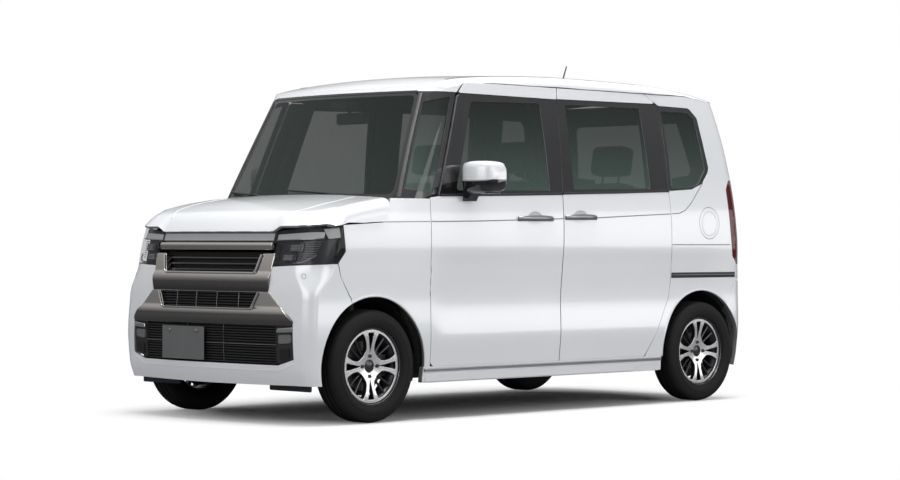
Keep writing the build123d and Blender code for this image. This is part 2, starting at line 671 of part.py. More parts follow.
def bow_slab(depth, thick, z0, z1):
    """Level slab that follows the nose's bow in plan, its front face at a depth behind the nose."""
    slab = plan_prism(z0, z1, NOSE, SIDE, LOW_CORNER, depth) - plan_prism(z0, z1, NOSE, SIDE, LOW_CORNER, depth + thick)
    return slab & block(-700, 700, -1800, -1400, z0, z1)


def grille(outline, depth, pitch, bar):
    """Slatted grille: level slats in front of a backing sheet."""
    z0 = min(z for x, z in outline)
    z1 = max(z for x, z in outline)
    sheet = bow_slab(depth + 16, 6, z0, z1)
    count = int((z1 - z0) / pitch)
    start = z0 + ((z1 - z0) - (count - 1) * pitch - bar) / 2
    for i in range(count):
        sheet += bow_slab(depth, 18, start + i * pitch, start + i * pitch + bar)
    return sheet & fitted_prism(outline)


PLATE_W, PLATE_H, PLATE_T = 330.0, 165.0, 1.2
PLATE_X, PLATE_Z = -160.0, 384.0
PLATE_HOLES = 210.0
PLATE_HOLE_R = 4.0


def plate_front():
    """Blank plate with its two bolt holes, on a holder that stands on the grille's slats."""
    y = NOSE + 1.3
    holder = block(PLATE_X - 150, PLATE_X + 150, y + PLATE_T, NOSE + GRILLE_DEPTH - SEAT, PLATE_Z - 70, PLATE_Z + 70)
    plate = block(PLATE_X - PLATE_W / 2, PLATE_X + PLATE_W / 2, y, y + PLATE_T, PLATE_Z - PLATE_H / 2,
                  PLATE_Z + PLATE_H / 2)
    both_ = holder + plate
    for s in (-1, 1):
        hole = Pos(PLATE_X + s * PLATE_HOLES / 2, y + 8, PLATE_Z + PLATE_H / 2 - 22) * Rot(90, 0, 0)
        both_ -= hole * Cylinder(PLATE_HOLE_R, 18)
    return [both_]


GRILLE_DEPTH = 22.0


# ---- tail ----
def rear_bumper():
    region = side_prism([(1515.0, 190.0), (1515.0, 508.0), (1612.0, 673.0), (1800.0, 673.0), (1800.0, 190.0)], -FAR, FAR)
    skin = (lower(0) & region) - lower(SKIN)
    skin -= arches(ARCH_R)
    return skin - block(-TAILGATE_HALF - GAP, TAILGATE_HALF + GAP, 1500, 1800, TAILGATE_LOW - GAP, 900)


REAR_GLASS = [(-500.0, 1180.0), (-480.0, 1590.0), (480.0, 1590.0), (500.0, 1180.0)]


def tailgate():
    half = TAILGATE_HALF
    region = front_prism([(-half, TAILGATE_LOW), (-half, 1600), (-598, DOOR_TOP), (598, DOOR_TOP), (half, 1600),
                          (half, TAILGATE_LOW)], 1250, 1800)
    region &= side_prism([(1470.0, DOOR_TOP), (1560.0, 1300.0), (1610.0, 900.0), (1610.0, TAILGATE_LOW),
                          (1800.0, TAILGATE_LOW), (1800.0, DOOR_TOP)], -FAR, FAR)
    wall = shell(region, 0, DOOR_T)
    wall -= front_prism(REAR_GLASS, 1250, 1800)
    cap_region = block(-598, 598, SPOILER_FRONT, 1800, 1700, 1900)
    cap = (roof_body(0) & upper(0) & cap_region) - (roof_body(24) & block(-560, 560, 0, 1490, 0, 1900))
    wall += cap
    hy, hz = TAILGATE_HINGE
    wall -= block(-FAR, FAR, hy - 60, hy, hz, 1900) - rod_x(hy, hz, 10, -FAR, FAR)
    for x in (-260.0, 260.0):
        wall -= block(x - 20 - SEAT, x + 20 + SEAT, hy - 60, hy + 12, hz - 60, hz + BARREL_R + SEAT)
    return wall


def tailgate_glass():
    pane = offset(make_face(Plane.XZ * Polyline(*REAR_GLASS, close=True)), -SEAT)
    return shell(Pos(0, 1250, 0) * extrude(pane, 550, dir=(0, 1, 0)), GLASS_SET, GLASS_SET + GLASS_T)


def tailgate_hinges():
    hy, hz = TAILGATE_HINGE
    return [rod_x(hy, hz, BARREL_R, x - 20, x + 20) + block(x - 20, x + 20, hy - 3, hy + 3, hz - 22, hz)
            + block(x - 20, x + 20, SPOILER_FRONT - GAP + SEAT, hy + 3, hz - 26, hz - 20) for x in (-260.0, 260.0)]


# ---- wheels ----
BORE_R = 26.0
BORE_END = 25.0
SPINDLE_X = WHEEL_X - BORE_END - SEAT


WHEEL_SIDES = 48


def tyre(axle, x):
    """Tyre with many flat sides, a flat one down on the ground."""
    half = TYRE_W / 2
    shoulder, tread = TYRE_R - 22.0, half - 22.0
    step = radians(360 / WHEEL_SIDES)
    rings = [
        [(across_, r / cos(step / 2) * cos(step * (i + 0.5)), r / cos(step / 2) * sin(step * (i + 0.5)))
         for i in range(WHEEL_SIDES)]
        for across_, r in ((-half, shoulder), (-tread, TYRE_R), (tread, TYRE_R), (half, shoulder))
    ]
    body_ = stacked(rings) - bar_x(0, 0, RIM_R, -half - 1, half + 1, WHEEL_SIDES)
    return Pos(x, axle, TYRE_R) * body_


SPOKE_LEAN = 11.0


def rim(axle, x, drum):
    """Alloy wheel with four pairs of spokes, its hub and its brake; the outer face is up before it is turned."""
    outer = 54.0
    wheel = many_sided(RIM_R - SEAT, 2 * outer, WHEEL_SIDES) - many_sided(RIM_R - 12, 2 * outer + 2, WHEEL_SIDES)
    wheel += Pos(0, 0, outer - 24) * many_sided(HUB_R, 30, 24)
    for i in range(4):
        for lean in (-SPOKE_LEAN, SPOKE_LEAN):
            spoke = Pos((RIM_R - 8 + 40) / 2, lean * 0.9, outer - 22) * Box(RIM_R - 8 - 40, 22, 18)
            wheel += Rot(0, 0, 90 * i + lean) * spoke
    wheel += Pos(0, 0, (outer - 24 - 30) / 2 - 8) * many_sided(62, 60, 24)
    wheel += Pos(0, 0, -20) * many_sided(drum, 24 if drum == DRUM_R else 11, 40)
    wheel -= Pos(0, 0, -BORE_END - 35) * Cylinder(BORE_R, 70)
    turn = Rot(0, 90, 0) if x > 0 else Rot(0, -90, 0)
    return Pos(x, axle, TYRE_R) * turn * wheel


def knuckle():
    """Left front upright with its strut, spring seat and hub spindle, on the upright steering axis."""
    y = FRONT_AXLE
    upright = block(527, 563, y - 34, y + 34, 196, 360)
    spindle = rod_x(y, TYRE_R, 22, 540, SPINDLE_X)
    strut = bar_z(KINGPIN, y, 22, 340, 700)
    rod = bar_z(KINGPIN, y, 10, 690, 865.7)
    seat = bar_z(KINGPIN, y, 50, 640, 646) + bar_z(KINGPIN, y, 48, 850, 858)
    spring = bar_z(KINGPIN, y, 43, 646, 850) - bar_z(KINGPIN, y, 36, 645, 851)
    caliper = block(600, 656, y + 74, y + 138, 226, 331) - bar_x(y, TYRE_R, DISC_R + 4, 616, 648, 40)
    arm = block(540, 560, y + 20, y + 150, 250, 268) + block(548, 602, y + 96, y + 132, 240, 322)
    return upright + spindle + strut + rod + seat + spring + arm + caliper


KINGPIN = 545.0


def front_suspension():
    y = FRONT_AXLE
    parts = block(-330, 330, y - 60, y + 160, 190, 240)
    for s in (-1, 1):
        arm = extrude(make_face(Polyline((s * 300, y - 40), (s * 300, y + 150), (s * 340, y + 150), (s * 570, y + 20),
                                         (s * 570, y - 25), (s * 340, y - 40), close=True)), 20, dir=(0, 0, 1))
        parts += Pos(0, 0, 172) * arm
        parts += block(min(s * 300, s * 340), max(s * 300, s * 340), y - 40, y + 150, 172, 240)
        parts += bar_z(s * KINGPIN, y, 16, 172, 195.7)
        parts += bar_x(y, TYRE_R, 12, min(s * 340, s * 505), max(s * 340, s * 505))
        parts += bar_x(y, TYRE_R, 32, min(s * 300, s * 350), max(s * 300, s * 350))
        parts += block(min(s * 240, s * 330), max(s * 240, s * 330), y - 30, y + 30, 235, 300)
        parts += block(min(s * 335, s * 380), max(s * 335, s * 380), y + 60, y + 120, 172, 399.7)
    return parts


def rear_axle():
    y = REAR_AXLE
    beam = block(-480, 480, y - 230, y - 160, 225, 290)
    for s in (-1, 1):
        arm = side_prism([(y - 399.7, 235), (y - 399.7, 295), (y + 60, 310), (y + 60, 250)], 0, 50)
        beam += Pos(s * 480 - 25, 0, 0) * arm
        beam += rod_x(y, TYRE_R, 22, min(s * 480, s * SPINDLE_X), max(s * 480, s * SPINDLE_X))
        beam += bar_z(s * 450, y + 20, 43, 250, 262) + bar_z(s * 450, y + 20, 38, 262, 465)
    return beam


def front_frame():
    y = FRONT_AXLE
    parts = block(-500, 500, -1588, -1556, 400, 530)
    for s in (-1, 1):
        rail = block(330, 384, -1560, -960.3, 400, 480)
        apron = block(372, 384, -1560, -960.3, 400, 878)
        shelf = block(372, FAR, y - 85, y + 85, 866, 878) & lower(SKIN + SEAT)
        tower = bar_z(KINGPIN, y, 72, 640, 870, 20) - bar_z(KINGPIN, y, 64, 600, 866, 20)
        one = rail + apron + shelf + tower
        one -= arch(FRONT_AXLE, ARCH_R + LINER_T + SEAT, ARCH_IN_X - LINER_T - SEAT)
        parts += one if s > 0 else other_side(one)
    return parts


def liner(axle, strut):
    shell_ = bar_x(axle, TYRE_R, ARCH_R + LINER_T, ARCH_IN_X - LINER_T, SIDE - 82, ARCH_SIDES)
    shell_ -= arch(axle, ARCH_R)
    shell_ -= block(0, FAR, axle - 400, axle + 400, -100, 262)
    shell_ -= block(0, FAR, axle - 170, axle + 170, 0, 480)
    shell_ -= axle_window()
    shell_ -= block(0, FAR, axle + 200, axle + 400, -100, 330)
    if strut:
        shell_ -= rod_z(KINGPIN, axle, 64, 500, 800)
    return shell_


# ---- cabin ----
def seat(x, width, y, back_h):
    """Cushion, backrest and headrest as one upholstered body; y is the hip point."""
    h = 640.0
    side = make_face(Plane.YZ * Polyline(
        (y - 330, h - 110), (y - 340, h - 10), (y - 300, h + 20), (y + 60, h - 10), (y + 110, h + 40),
        (y + 210, h + back_h), (y + 250, h + back_h + 20), (y + 320, h + back_h), (y + 230, h + 10),
        (y + 190, h - 110), close=True))
    body_ = Pos(x - width / 2, 0, 0) * extrude(side, width, dir=(1, 0, 0))
    posts = bar_between((x - 60, y + 262, h + back_h), (x - 60, y + 275, h + back_h + 70), 6, 8)
    posts += bar_between((x + 60, y + 262, h + back_h), (x + 60, y + 275, h + back_h + 70), 6, 8)
    head = block(x - 125, x + 125, y + 230, y + 320, h + back_h + 60, h + back_h + 230)
    base = block(x - width / 2 + 40, x + width / 2 - 40, y - 280, y + 130, 240.3, h - 108)
    return body_ + posts + head + base


def dashboard():
    side = make_face(Plane.YZ * Polyline((-947.7, 700.0), (-947.7, 1020.0), (-880.0, 1036.0), (-700.0, 1036.0),
                                         (-640.0, 1010.0), (-620.0, 900.0), (-660.0, 720.0), close=True))
    body_ = Pos(-590, 0, 0) * extrude(side, 1180, dir=(1, 0, 0))
    return body_ - bar_between(along_column(0), along_column(-182 - SEAT), COLUMN_R + SEAT, 20)


WHEEL_C = (-330.0, -480.0, 960.0)
COLUMN_TILT = 25.0
COLUMN_R = 30.0
COLUMN_DIR = (0.0, cos(radians(COLUMN_TILT)), sin(radians(COLUMN_TILT)))


def along_column(d):
    return tuple(c + d * k for c, k in zip(WHEEL_C, COLUMN_DIR))


def steering_wheel():
    plane = Plane(origin=WHEEL_C, x_dir=(1, 0, 0), z_dir=COLUMN_DIR)
    wheel = many_sided(190, 26, 36) - many_sided(166, 28, 36)
    wheel += Pos(0, 0, -8) * many_sided(62, 40, 20)
    for a in (0, 180, 270):
        wheel += Rot(0, 0, a) * Pos(112, 0, -6) * Box(116, 34, 16)
    wheel += Pos(0, 0, -54) * many_sided(16, 60, 12)
    return plane * wheel


def steering_column():
    return bar_between(along_column(-84.3), along_column(-182), COLUMN_R, 20)


def build():
    parts = {}
    door = front_door()
    parts["door_left"] = [door]
    parts["door_right"] = [other_side(door)]
    pane = glass(FRONT_GLASS)
    parts["door_left_glass"] = [pane]
    parts["door_right_glass"] = [other_side(pane)]
    hinges = door_hinges()
    slide = door_wall(SLIDE_OUTLINE, SLIDE_GLASS, WALL_T) + handle(*REAR_HANDLE)
    parts["sliding_doors"] = [slide, other_side(slide)]
    frame = body_frame()
    parts["body_frame"] = [frame, other_side(frame)]
    parts["floor_pan"] = [floor_pan()]
    sill = rocker()
    parts["side_skirts"] = [sill, other_side(sill)]
    parts["front_fenders"] = [front_fender(), other_side(front_fender())]
    quarter = quarter_panel()
    parts["quarter_panels"] = [quarter, other_side(quarter)]
    parts["fuel_lid"] = [fuel_lid()]
    parts["roof_panel"] = [roof_panel()]
    parts["windscreen_frame"] = [windscreen_frame()]
    parts["windscreen"] = [windscreen()]
    panes = [sail_glass(), glass(SLIDE_GLASS), glass(QUARTER_GLASS)]
    parts["fixed_side_glass"] = panes + [other_side(p) for p in panes]
    parts["mirror_left"] = [mirror()]
    parts["mirror_right"] = [other_side(mirror())]
    parts["aerial"] = [aerial()]
    parts["bonnet"] = [bonnet()]
    parts["cowl_panel"] = [cowl_panel()]
    parts["plate_front"] = plate_front()
    parts["hinge_pins"] = hinges + [other_side(p) for p in hinges] + bonnet_hinges() + tailgate_hinges()
    parts["front_bumper"] = [front_bumper()]
    lamp = headlamp()
    parts["headlamps"] = [lamp, other_side(lamp)]
    parts["light_bar"] = [nose_slab(LIGHT_BAR, 2, 24)]
    parts["front_garnish"] = [nose_slab(U_UPPER, -4, 26), nose_slab(U_LOWER, -4, 26), nose_slab(UPPER_BAR, 0, 24)]
    parts["front_grille"] = [grille(GRILLE_UP, 56, 26, 10), grille(GRILLE_MID, 36, 20, 7),
                             grille(GRILLE_LOW, GRILLE_DEPTH, 22, 8)]
    parts["rear_bumper"] = [rear_bumper()]
    parts["tailgate"] = [tailgate()]
    parts["tailgate_glass"] = [tailgate_glass()]
    lamp = shell(rear_lamp_region(1.0), 2, WALL_T)
    parts["tail_lamps"] = [lamp, other_side(lamp)]
    for end, axle, drum in (("front", FRONT_AXLE, DISC_R), ("rear", REAR_AXLE, DRUM_R)):
        for side, x in (("left", WHEEL_X), ("right", -WHEEL_X)):
            parts[f"tyre_{end}_{side}"] = [tyre(axle, x)]
            parts[f"rim_{end}_{side}"] = [rim(axle, x, drum)]
    k = knuckle()
    parts["knuckle_left"] = [k]
    parts["knuckle_right"] = [other_side(k)]
    parts["front_suspension"] = [front_suspension()]
    parts["rear_axle"] = [rear_axle()]
    parts["front_frame"] = [front_frame()]
    liners = [liner(FRONT_AXLE, True), liner(REAR_AXLE, False)]
    parts["wheel_arch_liners"] = liners + [other_side(p) for p in liners]
    parts["front_seats"] = [seat(-330, 480, -60, 560), seat(330, 480, -60, 560)]
    parts["rear_seats"] = [seat(-300, 540, 745, 560), seat(300, 540, 745, 560)]
    parts["dashboard"] = [dashboard()]
    parts["steering_wheel"] = [steering_wheel()]
    parts["steering_column"] = [steering_column()]
    parts["engine_block"] = [block(-290, 290, -1540, -1130, 300.3, 800)]
    return parts


if __name__ == "__main__":
    os.makedirs("parts", exist_ok=True)
    for node, pieces in build().items():
        flat = [s for p in pieces for s in solids_of(p)]
        print(node, len(flat), [round(s.volume / 1e6, 2) for s in flat])
        export_step(Compound(children=flat) if len(flat) > 1 else flat[0], f"parts/{node}.step")
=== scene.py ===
"""Kei car with sliding rear doors: its finished surfaces, trim, wheels and cabin, and the studio round it.

All lengths are in metres. The nose points to -Y and the car's left side is +X.
"""
import json
import math
from functools import lru_cache

import bpy
import numpy as np
from bpy.props import FloatProperty, FloatVectorProperty, IntProperty, PointerProperty
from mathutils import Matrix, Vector
from mathutils.geometry import delaunay_2d_cdt

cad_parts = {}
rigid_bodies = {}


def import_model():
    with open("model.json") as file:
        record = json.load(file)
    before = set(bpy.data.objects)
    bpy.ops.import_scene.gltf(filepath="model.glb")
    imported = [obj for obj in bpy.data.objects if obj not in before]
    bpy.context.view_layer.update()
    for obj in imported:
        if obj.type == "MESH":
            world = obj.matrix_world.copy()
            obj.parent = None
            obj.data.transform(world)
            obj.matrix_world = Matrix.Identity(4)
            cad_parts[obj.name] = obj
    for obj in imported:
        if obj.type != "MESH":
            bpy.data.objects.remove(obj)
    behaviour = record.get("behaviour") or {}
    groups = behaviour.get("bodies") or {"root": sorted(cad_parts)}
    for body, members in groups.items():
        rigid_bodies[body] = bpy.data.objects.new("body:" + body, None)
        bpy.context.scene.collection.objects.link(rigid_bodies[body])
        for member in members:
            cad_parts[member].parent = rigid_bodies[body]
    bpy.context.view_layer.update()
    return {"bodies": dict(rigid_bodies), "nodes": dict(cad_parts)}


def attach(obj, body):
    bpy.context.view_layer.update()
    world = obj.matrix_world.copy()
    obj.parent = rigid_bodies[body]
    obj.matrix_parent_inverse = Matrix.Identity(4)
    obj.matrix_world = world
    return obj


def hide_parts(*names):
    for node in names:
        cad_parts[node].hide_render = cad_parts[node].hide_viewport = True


bl_info = {
    "name": "Kei Car",
    "version": (1, 0, 0),
    "blender": (4, 2, 0),
    "location": "View3D > Sidebar > Kei Car",
    "description": "Builds the finished kei car and its studio",
    "category": "Add Mesh",
}

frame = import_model()

LENGTH, WIDTH = 3.395, 1.475
NOSE, TAIL, SIDE = -LENGTH / 2, LENGTH / 2, WIDTH / 2
AXLES = {"front": -1.210, "rear": 1.310}
WHEEL_X, TYRE_R, TYRE_W, RIM_R, LIP_R, ARCH_R = 0.6525, 0.2785, 0.155, 0.178, 0.191, 0.343


# ---------------------------------------------------------------- settings
def colour(name, description, default):
    return FloatVectorProperty(name=name, description=description, default=default, subtype="COLOR", min=0, max=1)


class KeiBodySettings(bpy.types.PropertyGroup):
    paint: colour("Body paint", "Colour of the painted panels", (0.79, 0.805, 0.825))
    garnish: colour("Garnish", "Colour of the dark bright-work on the nose", (0.340, 0.320, 0.298))
    glass: colour("Side glass", "Colour of the tinted side windows", (0.010, 0.015, 0.013))
    edge: FloatProperty(name="Panel edge", description="Radius of the rounded panel edges", default=0.0012, min=0.0003,
                        max=0.004, unit="LENGTH")


class KeiWheelSettings(bpy.types.PropertyGroup):
    alloy: colour("Spoke face", "Colour of the machined spoke faces", (0.80, 0.80, 0.81))
    rubber: colour("Rubber", "Colour of the tyres", (0.006, 0.006, 0.0065))
    grooves: IntProperty(name="Tread grooves", description="Number of grooves round each tyre", default=3, min=1, max=6)
    spoke_width: FloatProperty(name="Spoke width", description="Width of one spoke at the rim", default=0.022, min=0.01,
                               max=0.06, unit="LENGTH")


class KeiCabinSettings(bpy.types.PropertyGroup):
    cloth: colour("Seat cloth", "Colour of the seats", (0.13, 0.12, 0.11))
    plastic: colour("Cabin plastic", "Colour of the dashboard and the linings", (0.05, 0.048, 0.046))
    fill: FloatProperty(name="Cushion fill", description="How full the cushions are", default=0.7, min=0, max=1)


class KeiStudioSettings(bpy.types.PropertyGroup):
    floor: colour("Floor", "Colour of the studio floor", (0.90, 0.90, 0.90))
    key_power: FloatProperty(name="Key light", description="Power of the large light overhead", default=400, min=0)
    fill_power: FloatProperty(name="Fill light", description="Power of the side lights", default=98, min=0)


class KeiSettings(bpy.types.PropertyGroup):
    body: PointerProperty(type=KeiBodySettings)
    wheels: PointerProperty(type=KeiWheelSettings)
    cabin: PointerProperty(type=KeiCabinSettings)
    studio: PointerProperty(type=KeiStudioSettings)


# ---------------------------------------------------------------- shader maths
class Sock:
    """A value in a node tree that can be used in ordinary expressions."""

    def __init__(self, tree, socket):
        self.tree, self.socket = tree, socket

    def maths(self, operation, *others):
        return make_node(self.tree, "ShaderNodeMath", {"operation": operation}, 0,
                         **{str(i): v for i, v in enumerate((self, *others))})

    def __add__(self, o): return self.maths("ADD", o)
    def __radd__(self, o): return self.maths("ADD", o)
    def __sub__(self, o): return self.maths("SUBTRACT", o)
    def __rsub__(self, o): return self.maths("MULTIPLY", -1.0).maths("ADD", o)
    def __mul__(self, o): return self.maths("MULTIPLY", o)
    def __rmul__(self, o): return self.maths("MULTIPLY", o)
    def __gt__(self, o): return self.maths("GREATER_THAN", o)
    def __lt__(self, o): return self.maths("LESS_THAN", o)
    def sin(self): return self.maths("SINE")
    def abs(self): return self.maths("ABSOLUTE")
    def frac(self): return self.maths("FRACT")
    def power(self, o): return self.maths("POWER", o)
    def angle_to(self, o): return self.maths("ARCTAN2", o)
    def clamp(self): return self.maths("MAXIMUM", 0.0).maths("MINIMUM", 1.0)

    def mix(self, a, b):
        """Colour between a and b by this factor."""
        return make_node(self.tree, "ShaderNodeMix", {"data_type": "RGBA"}, 2, Factor=self, **{"6": a, "7": b})


def feed(tree, socket, value):
    """Links an input to a value in the tree, or sets it to a number or a colour."""
    if isinstance(value, Sock):
        tree.links.new(value.socket, socket)
    elif isinstance(value, (tuple, list)) and socket.type == "RGBA" and len(value) == 3:
        socket.default_value = (*value, 1.0)
    else:
        socket.default_value = value


def make_node(tree, kind, settings, out=0, **values):
    """Adds a node, its settings first and then its inputs by name or number, and returns one output."""
    node = tree.nodes.new(kind)
    for key, value in settings.items():
        setattr(node, key, value)
    for key, value in values.items():
        feed(tree, node.inputs[int(key) if key.isdigit() else key.replace("_", " ")], value)
    return Sock(tree, node.outputs[out])


def new_material(name, **fixed):
    """Material with one main shader; fixed values go straight onto its sockets."""
    mat = bpy.data.materials.new(name)
    mat.use_nodes = True
    tree = mat.node_tree
    shader = tree.nodes["Principled BSDF"]
    for key, value in fixed.items():
        put(tree, shader, key.replace("_", " "), value)
    return mat, tree, shader


def put(tree, shader, socket, value):
    """Sets or links one input of the main shader."""
    feed(tree, shader.inputs[socket], value)


def surface_point(tree):
    """The place on the surface, in the piece's own coordinates."""
    return make_node(tree, "ShaderNodeTexCoord", {}, "Object")


def apart(tree, point):
    """The three coordinates of a point."""
    split = make_node(tree, "ShaderNodeSeparateXYZ", {}, 0, Vector=point).socket.node
    return [Sock(tree, output) for output in split.outputs]


def noise(tree, point, scale, detail=2.0):
    return make_node(tree, "ShaderNodeTexNoise", {}, 0, Vector=point, Scale=scale, Detail=detail)


def bump(tree, height, distance, strength=1.0):
    return make_node(tree, "ShaderNodeBump", {}, 0, Height=height, Distance=distance, Strength=strength)


# ---------------------------------------------------------------- materials
def paint_material(colour_):
    """Pearl paint: a flake in the base coat under a clear coat."""
    mat, tree, shader = new_material("body_paint", Metallic=0.12, Coat_Weight=1.0, Coat_Roughness=0.07)
    point = surface_point(tree)
    flake = noise(tree, point, 2600.0, 1.0)
    cloud = noise(tree, point, 3.0, 3.0)
    dark = tuple(c * 0.95 for c in colour_)
    put(tree, shader, "Base Color", (flake * 0.5 + cloud * 0.4).clamp().mix(dark, colour_))
    put(tree, shader, "Roughness", 0.24 + flake * 0.08)
    put(tree, shader, "Normal", bump(tree, noise(tree, point, 420.0, 2.0), 0.000008, 1.0))
    return mat


def plain_material(name, colour_, roughness, metallic=0.0, grain=900.0, depth=0.00006, coat=0.0, uneven=0.12):
    """One colour with a fine moulded or cast grain and slightly uneven gloss."""
    mat, tree, shader = new_material(name, Metallic=metallic, Coat_Weight=coat)
    point = surface_point(tree)
    fine = noise(tree, point, grain, 2.0)
    broad = noise(tree, point, 9.0, 3.0)
    dark, light = tuple(c * 0.86 for c in colour_), tuple(min(c * 1.14, 1) for c in colour_)
    put(tree, shader, "Base Color", broad.mix(dark, light))
    put(tree, shader, "Roughness", (roughness + (broad - 0.5) * uneven).clamp())
    put(tree, shader, "Normal", bump(tree, fine, depth, 0.6))
    return mat


def garnish_material(colour_):
    """Smoked metal film on the nose trim, with painted highlight and shade: each band is painted paler along its top
    and darker below, as light falls on it.
    """
    mat, tree, shader = new_material("garnish", Metallic=1.0, Coat_Weight=0.3)
    point = surface_point(tree)
    z = apart(tree, point)[2]
    bands_meet, upper_foot, lower_foot = 0.645, 0.655, 0.500
    over = z > bands_meet
    # painted highlight and shade: t rises from each band's foot to its top, taking the colour from a dark painted shade
    # to a pale painted highlight
    t = ((z - upper_foot) * 12.0).clamp() * over + ((z - lower_foot) * 13.0).clamp() * (1.0 - over)
    cloud = noise(tree, point, 40.0, 2.0)
    put(tree, shader, "Base Color", (t.power(1.4) + (cloud - 0.5) * 0.06).clamp().mix(
        tuple(c * 0.42 for c in colour_), tuple(min(c * 1.8, 1) for c in colour_)))
    put(tree, shader, "Roughness", 0.22 + cloud * 0.04)
    put(tree, shader, "Normal", bump(tree, noise(tree, point, 300.0, 2.0), 0.00001, 0.4))
    return mat


def glass_material(name, tint, clear, roughness=0.02, pale=1.0):
    """Tinted pane: dark and partly see-through, paler towards the sill, with a sharp reflection and a trace of haze."""
    mat, tree, shader = new_material(name, Coat_Weight=0.0, IOR=1.5)
    point = surface_point(tree)
    z = apart(tree, point)[2]
    haze = noise(tree, point, 14.0, 3.0)
    window_top = 1.66
    low = ((window_top - z) * 1.9).clamp().power(1.6)
    put(tree, shader, "Base Color", low.mix(tint, tuple(min(c * pale, 1) for c in tint)))
    put(tree, shader, "Roughness", roughness + haze * 0.02)
    put(tree, shader, "Alpha", (1.0 - clear) + haze * 0.03)
    return mat


def rubber_material(colour_):
    """Tyre rubber: cross cuts in the tread, fine rings on the sidewall and a dry bloom."""
    mat, tree, shader = new_material("rubber", Metallic=0.0, Specular_IOR_Level=0.3)
    point = surface_point(tree)
    x, y, z = apart(tree, point)
    radius = (y * y + z * z).power(0.5)
    turn = z.angle_to(y)
    tread = (radius > TYRE_R - 0.006).clamp()
    cuts_round, slant, cut_share = 72, 9.0, 0.16
    cuts = ((turn * (cuts_round / math.tau) + x.abs() * slant).frac() < cut_share) * tread
    rings = (radius * 900.0).sin() * (radius < TYRE_R - 0.02) * 0.12
    bloom = noise(tree, point, 30.0, 4.0)
    put(tree, shader, "Base Color", bloom.mix(colour_, tuple(c * 1.6 + 0.003 for c in colour_)))
    put(tree, shader, "Roughness", 0.66 + bloom * 0.2)
    put(tree, shader, "Normal", bump(tree, rings - cuts + bloom * 0.1, 0.0016, 0.8))
    return mat


def cloth_material(colour_):
    """Woven seat cloth with a faint stripe."""
    mat, tree, shader = new_material("seat_cloth", Sheen_Weight=0.4)
    point = surface_point(tree)
    x, y, z = apart(tree, point)
    weave = (x * 1800.0).sin() * (y * 1800.0 + z * 1800.0).sin()
    patch = noise(tree, point, 40.0, 3.0)
    put(tree, shader, "Base Color", (weave * 0.25 + 0.4 + patch * 0.2).clamp().mix(
        tuple(c * 0.6 for c in colour_), tuple(c * 1.5 for c in colour_)))
    put(tree, shader, "Roughness", 0.82 + patch * 0.1)
    put(tree, shader, "Normal", bump(tree, weave, 0.0004, 0.5))
    return mat


def machined_material(colour_):
    """Turned alloy: fine rings about the wheel's axis under lacquer."""
    mat, tree, shader = new_material("machined_alloy", Metallic=0.8, Coat_Weight=0.5, Coat_Roughness=0.05)
    point = surface_point(tree)
    _, y, z = apart(tree, point)
    radius = (y * y + z * z).power(0.5)
    rings = (radius * 5200.0).sin()
    soft = noise(tree, point, 12.0, 2.0)
    dark, light = tuple(c * 0.9 for c in colour_), tuple(min(c * 1.08, 1) for c in colour_)
    put(tree, shader, "Base Color", soft.mix(dark, light))
    put(tree, shader, "Roughness", 0.22 + rings * 0.03 + soft * 0.05)
    put(tree, shader, "Normal", bump(tree, rings, 0.00002, 0.3))
    return mat


def lamp_rib_material(name, colour_, pitch, painted_glow):
    """Lamp reflector or light guide with fine upright ribs, painted darker in the ribs' valleys as shade, and with a
    faint painted glow.
    """
    mat, tree, shader = new_material(name, Metallic=0.0, Coat_Weight=0.6)
    point = surface_point(tree)
    x, y, _ = apart(tree, point)
    rib = ((x + y) * (math.tau / pitch)).sin()
    # painted shade: the colour darkens into each rib's valley
    put(tree, shader, "Base Color", (rib * 0.5 + 0.5).mix(tuple(c * 0.7 for c in colour_), colour_))
    put(tree, shader, "Roughness", 0.18 + noise(tree, point, 60.0) * 0.1)
    put(tree, shader, "Normal", bump(tree, rib, 0.0006, 0.7))
    # painted glow: a faint emission that stands in for light the reflector catches
    put(tree, shader, "Emission Color", colour_)
    put(tree, shader, "Emission Strength", painted_glow)
    return mat


def floor_material(colour_):
    """Studio floor: it takes the car's shadow close by and turns into the white background further off."""
    mat, tree, shader = new_material("studio_floor", Metallic=0.0, Specular_IOR_Level=0.0)
    point = surface_point(tree)
    x, y, _ = apart(tree, point)
    seen = make_node(tree, "ShaderNodeLightPath", {}, "Is Camera Ray")
    mirrored = make_node(tree, "ShaderNodeLightPath", {}, "Is Glossy Ray")
    dust = noise(tree, point, 6.0, 3.0)
    near = dust.mix(tuple(c * 0.985 for c in colour_), colour_)
    put(tree, shader, "Base Color", seen.mix(mirrored.mix((0.40, 0.40, 0.41), (0.16, 0.16, 0.17)), near))
    put(tree, shader, "Roughness", 0.8 + dust * 0.1)
    away = ((x * x) * 0.50 + (y * y) * 0.20).power(0.5)
    white = make_node(tree, "ShaderNodeEmission", {}, 0, Color=(1.0, 1.0, 1.0), Strength=1.0)
    both = make_node(tree, "ShaderNodeMixShader", {}, 0,
                     **{"0": ((away - 0.62) * 1.5).clamp() * seen, "1": Sock(tree, shader.outputs[0]), "2": white})
    feed(tree, tree.nodes["Material Output"].inputs[0], both)
    return mat


